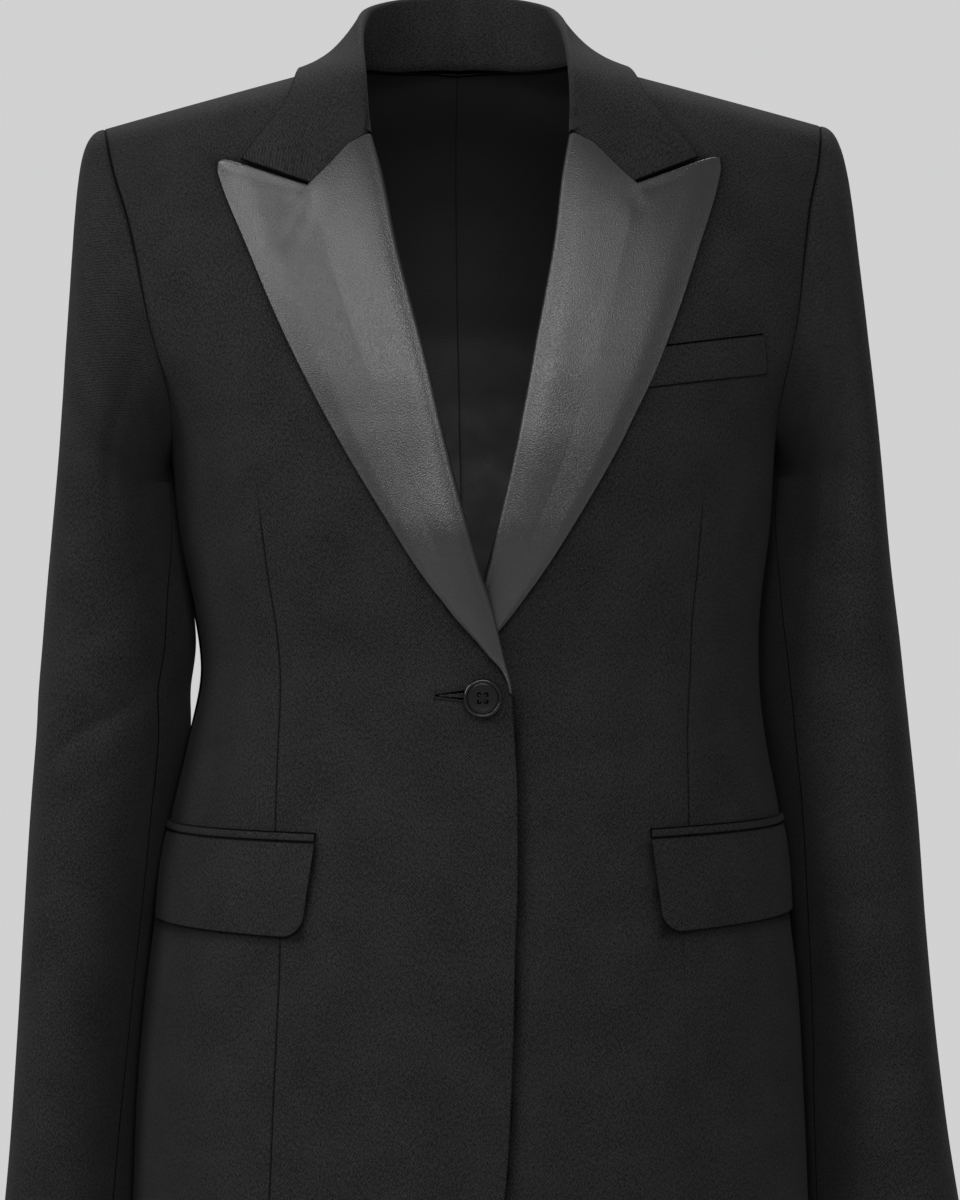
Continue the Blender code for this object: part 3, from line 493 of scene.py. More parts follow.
def shell(name, points, edges, wall, outward, finishes, seam_dip=0.8, painted_shade=0.0):
    """A closed thin shell under a grid of points (mm) on its outer face.

    edges names the first and last column and the first and last row: "free" is a turned, rounded
    edge with a thin line of painted shade, "seam" dips into a pressed seam, "sewn" into a deep one,
    both with painted shade along them, and "plain" is left as it is; "mouth" gets painted shade for
    the dark of a pocket's opening.  finishes are the outer and the inner material; the last argument
    adds painted shade to each point, such as beside pieces that lie on the cloth or along a dart.
    Texture coordinates are metres along the cloth.
    """
    rows, columns = points.shape[:2]
    normal = grid_normal(points, outward)
    along, fallen = run_lengths(points, 1), run_lengths(points, 0)
    distances = (along, along[:, -1:] - along, fallen, fallen[-1:] - fallen)
    wall = np.broadcast_to(wall, (rows, 1))
    squeeze, dip = np.zeros((rows, columns)), np.zeros((rows, columns))
    shade = np.broadcast_to(painted_shade, (rows, columns))
    # Painted shade: thin dark lines at turned edges, in seams and in pockets' mouths, where little
    # light reaches.
    for edge, distance in zip(edges, distances):
        if edge == "free":
            squeeze = np.maximum(squeeze, turned_down(distance, wall * 0.55))
            shade = np.maximum(shade, FREE_SHADE * near(distance, FREE_REACH))
        elif edge == "mouth":
            shade = np.maximum(shade, near(distance, MOUTH_REACH))
        elif edge != "plain":
            deep = edge == "sewn"
            dip = np.maximum(dip, seam_dip * turned_down(distance, 1.8)
                             + 0.5 * deep * turned_down(distance, 0.6))
            reach = SEWN_REACH if deep else SEAM_REACH
            shade = np.maximum(shade, near(distance, reach, 0.7 * reach))
    half = wall * 0.46 * squeeze
    outer = points - normal * (dip + half)[..., None]
    inner = points - normal * (wall - half + dip * 0.4)[..., None]

    middle = (rows // 2, columns // 2)
    rightward = np.cross((0.0, 0.0, 1.0), normal[middle])
    sense = 1.0 if np.dot(np.gradient(points, axis=1)[middle], rightward) >= 0.0 else -1.0
    wide = (along - along[:, middle[1], None]) * sense
    long = np.broadcast_to(-fallen[:, middle[1], None], wide.shape)
    place = np.tile(np.stack((wide, long), axis=-1).reshape(-1, 2) * MM, (2, 1))

    count = rows * columns
    index = np.arange(count).reshape(rows, columns)
    quads = np.stack((index[:-1, :-1], index[:-1, 1:], index[1:, 1:], index[1:, :-1]), axis=-1)
    quads = quads.reshape(-1, 4)
    ring = np.concatenate((index[0, :-1], index[:-1, -1], index[-1, :0:-1], index[:0:-1, 0]))
    after = np.roll(ring, -1)
    rim = np.stack((after, ring, ring + count, after + count), axis=-1)
    if outward < 0:
        quads, rim = quads[:, ::-1], rim[:, ::-1]
    faces = np.concatenate((quads, quads[:, ::-1] + count, rim))
    mesh = bpy.data.meshes.new(name)
    vertices = np.concatenate((outer, inner)).reshape(-1, 3) * MM
    mesh.from_pydata(vertices.tolist(), [], faces.tolist())
    layer = mesh.uv_layers.new(name="cloth")
    layer.data.foreach_set("uv", place[faces.ravel()].ravel())
    # The painted shade goes to the finishes through this attribute.
    dark = mesh.attributes.new("seam_shade", "FLOAT", "POINT")
    dark.data.foreach_set("value", np.tile(shade.ravel(), 2))
    for finish in finishes:
        mesh.materials.append(finish)
    slots = np.zeros(len(faces), dtype=np.int32)
    slots[len(quads):2 * len(quads)] = len(finishes) - 1
    mesh.polygons.foreach_set("material_index", slots)
    mesh.shade_smooth()
    return add_piece(name, mesh)


def add_piece(name, mesh):
    """Put a mesh into the scene as a piece that rides on the jacket."""
    piece = bpy.data.objects.new(name, mesh)
    bpy.context.scene.collection.objects.link(piece)
    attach(piece, "root")
    return piece


# ---------------------------------------------------------------- fronts and backs
def rows_along(start, end, spacing, first=True, last=True):
    """Rows of the body form that lie evenly down the cloth, closer at finished edges."""
    dense = np.linspace(start, end, 900)
    line = body(1.0, angle_at(110.0, dense), dense)
    run = run_lengths(line[None], 1)[0]
    return np.interp(stations(run[-1], spacing, first, last), run, dense)


def roll_panel_edge():
    """Inner edge of a forepart as (height, distance out): front edge, under the roll, neck."""
    roll = tuple((height, out + ROLL_INSET * float(fade(height, -380.0, -335.0)))
                 for height, out in ROLL_LINE[:-1])
    return FRONT_EDGE + roll + NECK_EDGE


def dart_groove(side, points, place):
    """Depth of the front dart, a sewn line from the chest to the hem, and the painted shade along it.
    """
    along = run_lengths(points, 1)
    away = np.abs(along - along[:, place, None])
    height = points[..., 2]
    start = fade(DART_TIP - height, 0.0, 40.0)
    hem = 1.0 if side < 0 else 1.0 - 0.85 * fade(-height, 505.0, 540.0)
    depth = size("dart_depth") * np.exp(-np.square(away / 0.42))
    return (start * hem * (depth + 0.35 * np.exp(-np.square(away / 3.2))),
            DART_SHADE * start * hem * near(away, DART_REACH))


def painted_contact_shade(side, out, height, row):
    """Painted shade on a forepart beside the pieces that lie on it: the collar, the lapel, the flap and
    the right front's edge.
    """
    places = np.linspace(2.0, 0.0, 60)
    edge, edge_row = (column(COLLAR_STATIONS, COLLAR_COLUMNS, name, places)
                      for name in ("edge_out", "edge_row"))
    past = np.maximum(out - np.interp(row, edge_row, edge), 0.0)
    collar_side = 0.5 * np.exp(-past / 1.5) * (1.0 - fade(-height, 64.0, 67.0))
    lapel = 0.5 * np.exp(-np.maximum(out - edge_out(LAPEL_EDGE, height), 0.0) / 1.8)
    lapel = lapel * fade(-height, 60.0, 66.0) * (1.0 - fade(-height, 372.0, 378.0))
    drop = POCKET_TOP - height
    front = POCKET_OUT + FLAP_SLANT * np.clip(drop / FLAP_DROP, 0.0, 1.0)
    beside = np.where(drop > 0.0, np.maximum(front - out, 0.0), 50.0)
    under = np.maximum(drop + POCKET_TILT * (out - POCKET_OUT) - FLAP_DROP, 0.0)
    flap = 0.62 * np.exp(-np.hypot(beside, under) / 2.4) * (out < POCKET_OUT + FLAP_LENGTH)
    shade = np.maximum(np.maximum(lapel, flap), collar_side)
    # Painted shadow of the right front's edge on the left front.
    if side > 0:
        past = np.maximum(out + edge_out(FRONT_EDGE, height), 0.0)
        shade = np.maximum(shade, 0.8 * np.exp(-past / 2.6) * fade(-height, 372.0, 384.0))
    return shade


def front_panel(name, side):
    """One front: shoulder, armhole and side seam outside, neck, roll line and edge inside."""
    hem_turn = float(row_at(30.0, -692.0))
    rows = np.concatenate((rows_along(0.004, hem_turn, size("cloth_cell"), last=False)[:-1],
                           rows_along(hem_turn, HEM_ROW, size("cloth_cell") / 2.0, first=False)))
    inner = angle_at(crossing(rows, roll_panel_edge()), rows)[:, None]
    outer = (armhole_angle(rows) + SIDE_LAP)[:, None]
    dart = angle_at(edge_out(DART, body_level(120.0, rows)), rows)[:, None]
    shares = stations(100.0, size("cloth_cell") * 0.85)[None, :] / 100.0
    angles = np.hstack((inner + (dart - inner) * shares, (dart + (outer - dart) * shares)[:, 1:]))
    rows = rows[:, None] + 0.0 * angles
    points = body(side, angles, rows)
    out = column(BODY_ROWS, BODY_COLUMNS, "half", rows) * np.sin(angles)
    height = points[..., 2]
    lift = lap_lift(side, out, height) - cloth_sink(side, out, height)
    # The dart's sewn line gets painted shade, and so does the cloth beside the pieces that lie on the
    # front.
    groove, line = dart_groove(side, points, shares.shape[1] - 1)
    lift = lift - groove
    painted_shade = np.maximum(line, painted_contact_shade(side, out, height, rows))
    points = points + body_normal(side, angles, rows) * lift[..., None]
    return shell(name, points, ("free", "sewn", "seam", "free"), size("wall"), -side,
                 (finish("wool"), finish("lining")), painted_shade=painted_shade)


def back_panel(name, side):
    """One back: shoulder, armhole and side seam outside, neck and centre back inside."""
    rows = rows_along(0.004, HEM_ROW, size("cloth_cell"))
    inner = (neck_angle(rows) - SIDE_LAP)[:, None]
    outer = (armhole_angle(rows) + SIDE_LAP)[:, None]
    shares = stations(SIDE_RADIUS, size("cloth_cell"))[None, :] / SIDE_RADIUS
    angles = math.pi - (inner + (outer - inner) * shares)
    rows = rows[:, None] + 0.0 * angles
    points = body(side, angles, rows)
    sink = creases(points[..., 0], points[..., 2], BACK_CREASES[side])
    points = points - body_normal(side, angles, rows) * sink[..., None]
    return shell(name, points, ("seam", "sewn", "seam", "free"), size("wall"), side,
                 (finish("wool"), finish("lining")))


# ---------------------------------------------------------------- lapels and collar
def gorge_line(out):
    """Height of the gorge seam and then of the lapel's top edge, from the fold to the tip."""
    points = GORGE + (LAPEL_TIP,)
    return np.interp(out, [p[0] for p in points], [p[1] for p in points])


def round_tip(out, height, outer_out):
    """Round the peak's point: move the cloth near the corner in, and say how far below the top."""
    rise = (LAPEL_TIP[1] - GORGE[-1][1]) / (LAPEL_TIP[0] - GORGE[-1][0])
    inwards = (outer_out - out) * math.hypot(1.0, rise)
    below = GORGE[-1][1] + (out - GORGE[-1][0]) * rise - height
    near, high = (np.clip(1.0 - part / TIP_ROUND, 0.0, 1.0) for part in (inwards, below))
    share = np.maximum(near, high) / np.maximum(np.hypot(near, high), 1e-9)
    share = np.where((near > 0.0) & (high > 0.0), share, 1.0)
    slide, drop = TIP_ROUND * near * (1.0 - share), TIP_ROUND * high * (1.0 - share)
    return out - slide, height - slide * rise - drop, below + drop


def lapel(name, side):
    """A satin peak lapel: it rolls over the front's edge, swells a little and lies on the chest."""
    down = stations(330.0, size("cloth_cell") * 0.75)[:, None] / 330.0
    notch = (GORGE[-1][0] - GORGE[0][0]) / (LAPEL_TIP[0] - GORGE[0][0])
    fine = stations(90.0, size("cloth_cell") * 0.7, first=False) / 90.0
    across = np.concatenate((notch * np.linspace(0.0, 1.0, 14), fine[fine > notch + 0.012]))
    top, foot = GORGE[0][1] - SEAM, ROLL_LINE[0][0]
    roll_height = top + (foot - top) * down
    edge_height = LAPEL_TIP[1] + (foot - LAPEL_TIP[1]) * down
    roll_out, outer_out = edge_out(ROLL_LINE, roll_height), edge_out(LAPEL_EDGE, edge_height)
    top_out = GORGE[0][0] + (LAPEL_TIP[0] - GORGE[0][0]) * across
    straight = GORGE[0][1] + (LAPEL_TIP[1] - GORGE[0][1]) * across
    bend = (gorge_line(top_out) - straight)[None, :] * (1.0 - down)
    thin = 1.0 - 0.64 * fade(down, 0.80, 1.0)
    radius, fall = ROLL_RADIUS * thin, FALL_HEIGHT * (0.25 + 0.75 * thin)
    centre = roll_out + radius
    outer_out = np.maximum(outer_out, centre + 0.4)
    flat_out = centre + (outer_out - centre) * across
    flat_height = roll_height + (edge_height - roll_height) * across + bend
    from_fold = flat_out - centre
    swell = size("lapel_swell") * (from_fold / 13.0) * np.exp(1.0 - from_fold / 13.0) * thin
    swell = swell * (1.0 - 0.75 * np.exp(-down / 0.035))
    lie = 1.6 * fade(across, 0.75, 1.0) * thin
    flat_out, flat_height, below_top = round_tip(flat_out, flat_height, outer_out)
    past_notch = fade(flat_out, GORGE[-1][0] - 3.0, GORGE[-1][0] + 8.0)
    flat_height = flat_height - 0.7 * past_notch * np.exp(-below_top / 12.0)
    ridge = np.exp(-np.square((below_top - 2.1) / 1.7))
    hollow = np.exp(-np.square((below_top - 6.2) / 2.2))
    puff = past_notch * (0.4 if side < 0 else 0.6) * (1.05 * ridge - 0.55 * hollow)
    sink = creases(flat_out, flat_height, LAPEL_CREASES[side])
    flat_lift = fall + swell - lie + (puff - sink) * thin
    turn = np.radians(np.linspace(-90.0, 90.0, 15)[:-1])
    fold_out = centre - radius * np.cos(turn)
    fold_lift = fall - radius + radius * np.sin(turn)
    start_out = centre + np.array((3.0, 1.5)) * thin
    start_lift = fall - 2.0 * radius + 0.0 * start_out
    out = np.hstack((start_out, fold_out, flat_out))
    lift = np.hstack((start_lift, fold_lift, flat_lift))
    height = np.hstack((np.repeat(roll_height, len(turn) + 2, axis=1), flat_height))
    points = on_front(side, out, height, lift + cloth_sink(side, out, height) * 0.7)
    # Painted shade along the gorge seam, from the fold to the notch.
    gorge = near(run_lengths(points, 0), EDGE_REACH)
    gorge[:, -past_notch.shape[1]:] *= 1.0 - past_notch
    return shell(name, points, ("plain", "free", "free", "free"), size("lapel_wall") * thin, -side,
                 (finish("satin"), finish("wool")), painted_shade=gorge)


def collar_half(side):
    """Grid of one half of the collar: stand, fold and fall, from the gorge to the back."""
    places = np.concatenate((np.array((0.0, 0.003, 0.008, 0.015, 0.025, 0.04, 0.065)),
                             np.linspace(0.1, 5.0, 54)))

    def at(name):
        return column(COLLAR_STATIONS, COLLAR_COLUMNS, name, places)

    seam_out, seam_row = at("seam_out"), at("seam_row")
    begin = 1.0 - fade(places, 0.0, 0.35)
    seam_row = seam_row + (row_at(seam_out[0], GORGE[0][1] + SEAM) - seam_row[0]) * begin
    seam = body(side, angle_at(seam_out, seam_row), seam_row)
    normal = body_normal(side, angle_at(seam_out, seam_row), seam_row)
    fold = np.stack((side * at("fold_out"), at("fold_y"), at("fold_z")), axis=-1)
    first = on_front(side, GORGE[0][0] + ROLL_RADIUS, GORGE[0][1] + SEAM, FALL_HEIGHT - ROLL_RADIUS)
    fold = fold + (first - fold[0]) * begin[:, None]
    inward = unit(np.stack((-side * seam_out, -seam[:, 1], np.zeros(len(places))), axis=-1))
    inward = unit(inward + (np.array((-side, 0.0, 0.0)) - inward) * begin[:, None])
    lean = np.maximum(1.0 - places / 2.0, 0.0)[:, None]
    upward = unit((fold - seam) * np.minimum(places, 1.0)[:, None] + inward * 10.0 * lean)
    outward = unit(normal - np.sum(normal * upward, axis=-1)[:, None] * upward)

    turn = np.radians(np.linspace(-90.0, 90.0, 15))[None, :, None]
    arc = (fold[:, None] + upward[:, None] * (ROLL_RADIUS * np.cos(turn))
           + outward[:, None] * (ROLL_RADIUS * np.sin(turn)))
    foot = seam + normal * 0.9 + upward * 0.2
    foot = foot + (arc[:, 0] - upward - foot) * begin[:, None]
    stand = foot[:, None] + (arc[:, 0] - foot)[:, None] * np.linspace(0.0, 1.0, 9)[None, :-1, None]

    corner = (COLLAR_CORNER[0] - GORGE[0][0], COLLAR_CORNER[1])
    notch = (GORGE[-1][0] - GORGE[0][0]) / corner[0]
    fine = stations(75.0, size("cloth_cell") * 0.75, first=False) / 75.0
    shares = np.concatenate((np.linspace(0.04, 1.0, 12) * notch, fine[fine > notch + 0.015]))
    base_out = seam_out[:, None] + (at("edge_out") - seam_out)[:, None] * shares
    base_row = seam_row[:, None] + (at("edge_row") - seam_row)[:, None] * shares
    front_out = GORGE[0][0] + corner[0] * shares
    line = GORGE + (COLLAR_CORNER,)
    front_height = np.interp(front_out, [p[0] for p in line], [p[1] for p in line]) + SEAM
    front_row = row_at(front_out, front_height)
    bend = (np.maximum(1.0 - places, 0.0) ** 2)[:, None]
    base_out = base_out + bend * (front_out - base_out[0])[None, :]
    base_row = base_row + bend * (front_row - base_row[0])[None, :]
    base_angle = angle_at(base_out, base_row)
    lying = body(side, base_angle, base_row)
    lying = lying + body_normal(side, base_angle, base_row) * FALL_HEIGHT
    start = seam + normal * FALL_HEIGHT
    rest = (1.0 - shares) ** 1.35
    drift = (arc[:, -1] - start)[:, None] * rest[None, :, None]
    fall = lying + drift * (1.0 - begin)[:, None, None]
    return np.concatenate((stand, arc, fall), axis=1)


def collar(name):
    """The whole upper collar, from one gorge round the back of the neck to the other."""
    left, right = collar_half(1.0), collar_half(-1.0)
    centre = (left[-1] + right[-1]) / 2.0
    points = np.concatenate((right[:-1], centre[None], left[-2::-1]), axis=0)
    # Painted shade along the collar's outer edge and its two front ends, where it meets the lapels.
    inside, onwards = run_lengths(points[:, ::-1], 1)[:, ::-1], run_lengths(points, 0)
    inside = np.minimum(inside, np.minimum(onwards, onwards[-1:] - onwards))
    return shell(name, points, ("plain", "free", "free", "free"), size("lapel_wall"), -1.0,
                 (finish("wool"), finish("wool")),
                 painted_shade=COLLAR_SHADE * near(inside, EDGE_REACH))


# ---------------------------------------------------------------- sleeves
def armhole_ring(side, count=240):
    """The armhole from its top over the front, the underarm and the back, evenly spaced."""
    rows = UNDERARM_ROW * (1.0 - np.cos(np.linspace(0.0, math.pi, count))) / 2.0
    angles = armhole_angle(rows)
    loop = np.concatenate((body(side, angles, rows), body(side, math.pi - angles, rows)[-2::-1]))
    length = run_lengths(loop[None], 1)[0]
    return length / length[-1], loop


def sleeve_ring(side, row, around):
    """Points of a level ring of the sleeve at shares `around` of the way round."""
    level, outer, inner, front, back, outer_sway, inner_sway = (
        column(SLEEVE_ROWS, SLEEVE_COLUMNS, name, row) for name in SLEEVE_COLUMNS[:7])
    turn = 2.0 * math.pi * around
    power = 2.0 / SLEEVE_SQUARENESS
    sideways = np.sign(np.cos(turn)) * np.abs(np.cos(turn)) ** power
    forwards = np.sign(np.sin(turn)) * np.abs(np.sin(turn)) ** power
    centre, depth = (back - front) / 2.0, (back + front) / 2.0
    y = centre - depth * forwards
    x = side * ((outer + inner) / 2.0 + (outer - inner) / 2.0 * sideways)
    x = x + side * SLEEVE_TURN * (y - centre)
    x = x + inner_sway + (outer_sway - inner_sway) * (1.0 + sideways) / 2.0
    return np.stack((x, y, np.full(np.shape(around), level)), axis=-1)


def sleeve_cap(side, ring, around, step):
    """Points of the sleeve head at a share `step` of the way from armhole to first level ring."""
    share, loop = ring
    wrapped = np.mod(around, 1.0)
    start = np.stack([np.interp(wrapped, share, loop[:, axis]) for axis in range(3)], axis=-1)
    up = np.cos(2.0 * math.pi * wrapped)
    forwards = np.sin(2.0 * math.pi * wrapped)
    low = (1.0 - up) / 2.0
    away = unit(np.stack((side * (0.6 + 0.4 * up), -0.15 * forwards, -0.52 + 0.47 * up), axis=-1))
    leave = unit(np.stack((side * np.ones(len(low)), 0.0 * low, 0.6 * low ** 3), axis=-1))
    start = start + leave * (CAP_START - 1.3 * low[:, None])
    end = sleeve_ring(side, 0.0, around)
    below = sleeve_ring(side, 0.25, around)
    rise = (start[:, 2] - end[:, 2])[:, None]
    high = np.maximum(up, 0.0)[:, None]
    first = start + away * (13.0 + 8.0 * up[:, None] + 5.0 * high ** 2)
    second = end + (end - below) / (end[:, 2:] - below[:, 2:]) * rise * (0.55 + 0.07 * high)
    rest = 1.0 - step
    return (start * rest ** 3 + first * 3 * rest ** 2 * step
            + second * 3 * rest * step ** 2 + end * step ** 3)


def sleeve_part(name, side, under):
    """The top or the under piece of a sleeve, between its two lengthwise seams."""
    ring = armhole_ring(side)
    cap = np.concatenate(((0.0, 0.002, 0.005, 0.01), np.linspace(0.02, 1.0, 34)[:-1]))
    arm = stations(9.0 * 50.0, size("cloth_cell"), first=False) / 50.0
    girth = 90.0 if under else 245.0
    shares = stations(girth, size("cloth_cell")) / girth
    rows, rounds = [], []
    for place in tuple((-1.0, step) for step in cap) + tuple((row, 0.0) for row in arm):
        settled = fade(0.6 * place[1] if place[0] < 0 else 0.6 + place[0], 0.0, 2.0)
        along = column(SLEEVE_ROWS, SLEEVE_COLUMNS, "seam_right" if side < 0 else "seam_left",
                       max(place[0], 0.0))
        forearm, hindarm = ((1.0 - settled) * high + settled * low for high, low
                            in zip(SEAM_AT_ARMHOLE, (along, HINDARM_SEAM)))
        start, end = (forearm, hindarm) if under else (hindarm - 1.0, forearm)
        around = start + SLEEVE_SEAM / 2.0 + (end - start - SLEEVE_SEAM) * shares
        rows.append(sleeve_cap(side, ring, around, place[1]) if place[0] < 0
                    else sleeve_ring(side, place[0], around))
        rounds.append(around)
    points, rounds = np.array(rows), np.mod(np.array(rounds), 1.0)
    table = tuple((x0 * SHARE_MM, z0, x1 * SHARE_MM, z1, width, depth)
                  for x0, z0, x1, z1, width, depth in SLEEVE_CREASES[side])
    sink = creases(rounds * 100.0 * SHARE_MM, points[..., 2], table)
    points = points - grid_normal(points, side) * sink[..., None]
    return shell(name, points, ("seam", "seam", "sewn", "free"), size("wall"), side,
                 (finish("wool"), finish("lining")), seam_dip=1.0)


# ---------------------------------------------------------------- pockets
def round_side(side, out, height, arc, lift):
    """A point over the body `arc` millimetres round from distance `out` at one height."""
    row = row_at(0.0, height)
    angles = np.linspace(angle_at(out, row), math.radians(130.0), 200)
    ring = body(side, angles, np.full(angles.shape, row))
    angle = np.interp(arc, run_lengths(ring[None], 1)[0], angles)
    return body(side, angle, row) + body_normal(side, angle, row) * lift


def pocket_flap(name, side):
    """A flap that hangs from under its jet: its lower front corner is rounded."""
    along = stations(FLAP_LENGTH, 3.2)
    corner = np.linspace(0.0, FLAP_ROUND, 15)
    along = np.array(sorted(set(np.round(np.concatenate((along[along > FLAP_ROUND], corner,
                                                         EDGE_STEPS)), 3))))
    down = stations(FLAP_DROP, 2.4) / FLAP_DROP
    top = POCKET_TOP - 0.1
    grid = np.zeros((len(down), len(along), 3))
    for place, arc in enumerate(along):
        cut = max(FLAP_ROUND - arc, 0.0)
        drop = FLAP_DROP - FLAP_ROUND + math.sqrt(FLAP_ROUND ** 2 - cut ** 2)
        drop -= FLAP_NARROWS * arc / FLAP_LENGTH
        for step, part in enumerate(down):
            height = top + POCKET_TILT * arc - drop * part
            slant = FLAP_SLANT * (1.0 - arc / FLAP_LENGTH) * drop * part / FLAP_DROP
            swell = 0.9 * math.sin(math.pi * part) + 0.5 * part * math.sin(arc / 19.0 + side)
            tuck = 0.8 * math.exp(-part * drop / 1.6)
            grid[step, place] = round_side(side, POCKET_OUT, height, arc + slant,
                                           FLAP_LIFT + swell - tuck)
    # Painted shade along its top, where it is tucked under the jet, and thin lines of it at its turned
    # edges.
    return shell(name, grid, ("free", "free", "seam", "free"), size("trim_wall"), -side,
                 (finish("wool"), finish("lining")), seam_dip=0.6)


def pocket_jet(name, side):
    """The narrow folded strip above a flap, with the pocket seam along its top."""
    rises = np.array((0.0, 0.25, 0.7, 1.4, 2.4, 3.4, 4.2, 4.8, 5.2, 5.5))
    lifts = np.array((1.2, 1.7, 2.1, 2.4, 2.4, 2.2, 1.9, 1.6, 1.4, 1.2))
    arcs = stations(FLAP_LENGTH + 1.0, 3.2) - 0.5
    grid = np.array([[round_side(side, POCKET_OUT - 0.5,
                                 POCKET_TOP + rise + 0.1 + POCKET_TILT * arc, arc + 0.5, lift)
                      for arc in arcs] for rise, lift in zip(rises[::-1], lifts[::-1])])
    # Painted shade along its top for the dark of the pocket's mouth, and in the seams at its ends and
    # bottom.
    return shell(name, grid, ("seam", "seam", "mouth", "seam"), 1.1, -side,
                 (finish("wool"), finish("wool")), seam_dip=0.5)


def chest_welt(name):
    """The slanted welt of the breast pocket, turned at its top and sewn down at its ends."""
    length = WELT_OUTER - WELT_INNER
    across = WELT_INNER + stations(length, 3.0)
    # The rows before the top lie on the chest above the turned edge; the "mouth" edge paints shade over
    # them for the dark of the pocket's mouth.
    down = np.concatenate((np.array((-1.9, -1.2, -0.55, -0.12)),
                           stations(WELT_HEIGHT, 1.6))) / WELT_HEIGHT
    top = WELT_TOP - (WELT_OUTER - across) * WELT_SLOPE
    height = top[None, :] - WELT_HEIGHT * down[:, None]
    out = across[None, :] + 0.8 * down[:, None]
    below = np.maximum(down, 0.0)[:, None]
    swell = 0.5 * np.sin(math.pi * below) + 0.8 * np.exp(-below * WELT_HEIGHT / 2.5)
    fold = np.where(down < 0.0, 1.0, turned_down(below[:, 0] * WELT_HEIGHT, 0.8))[:, None]
    lift = (WELT_LIFT + swell) * (1.0 - 0.9 * fold)
    return shell(name, on_front(1.0, out, height, lift), ("plain", "sewn", "mouth", "seam"),
                 1.2, -1.0, (finish("wool"), finish("wool")), seam_dip=0.9)


# ---------------------------------------------------------------- button and buttonhole
def turned(name, profile, steps, finish_name):
    """A turned solid: a profile of (radius, height) in mm spun about the local Z axis."""
    shape = bmesh.new()
    corners = [shape.verts.new((out * MM, 0.0, up * MM)) for out, up in profile]
    edges = [shape.edges.new(pair) for pair in zip(corners[:-1], corners[1:])]
    bmesh.ops.spin(shape, geom=corners + edges, cent=(0, 0, 0), axis=(0, 0, 1), dvec=(0, 0, 0),
                   angle=2.0 * math.pi, steps=steps, use_merge=True, use_duplicate=False)
    bmesh.ops.remove_doubles(shape, verts=shape.verts, dist=2e-6)
    bmesh.ops.recalc_face_normals(shape, faces=shape.faces)
    mesh = bpy.data.meshes.new(name)
    shape.to_mesh(mesh)
    shape.free()
    mesh.materials.append(finish(finish_name))
    return mesh


def tube(shape, points, radii, sides=10):
    """Add a tube with flat closed ends to a bmesh: radii are (across, up) in mm."""
    points = np.asarray(points, float)
    ahead = unit(np.gradient(points, axis=0))
    radii = np.broadcast_to(np.asarray(radii, float), (len(points), 2))
    turn = np.linspace(0.0, 2.0 * math.pi, sides, endpoint=False)
    rings = []
    for point, direction, (wide, high) in zip(points, ahead, radii):
        across = unit(np.cross(direction, (0.0, 0.0, 1.0)))
        above = np.cross(across, direction)
        ring = (point + wide * np.cos(turn)[:, None] * across
                + high * np.sin(turn)[:, None] * above)
        rings.append([shape.verts.new(spot * MM) for spot in ring])
    for one, two in zip(rings[:-1], rings[1:]):
        for place in range(sides):
            after = (place + 1) % sides
            shape.faces.new((one[place], one[after], two[after], two[place]))
    shape.faces.new(rings[0][::-1])
    shape.faces.new(rings[-1])


def mesh_of(name, shape, finish_name):
    """Finish a bmesh as a smooth mesh in one material."""
    bmesh.ops.recalc_face_normals(shape, faces=shape.faces)
    mesh = bpy.data.meshes.new(name)
    shape.to_mesh(mesh)
    shape.free()
    mesh.materials.append(finish(finish_name))
    mesh.shade_smooth()
    return mesh


def button_place():
    """Matrix of the button: local Z leaves the cloth, the origin is the middle of its back."""
    low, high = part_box("front_button")
    seat = Vector(((low[0] + high[0]) / 2.0, high[1], (low[2] + high[2]) / 2.0))
    return Matrix.Translation(seat) @ Matrix.Rotation(math.radians(90.0), 4, "X")


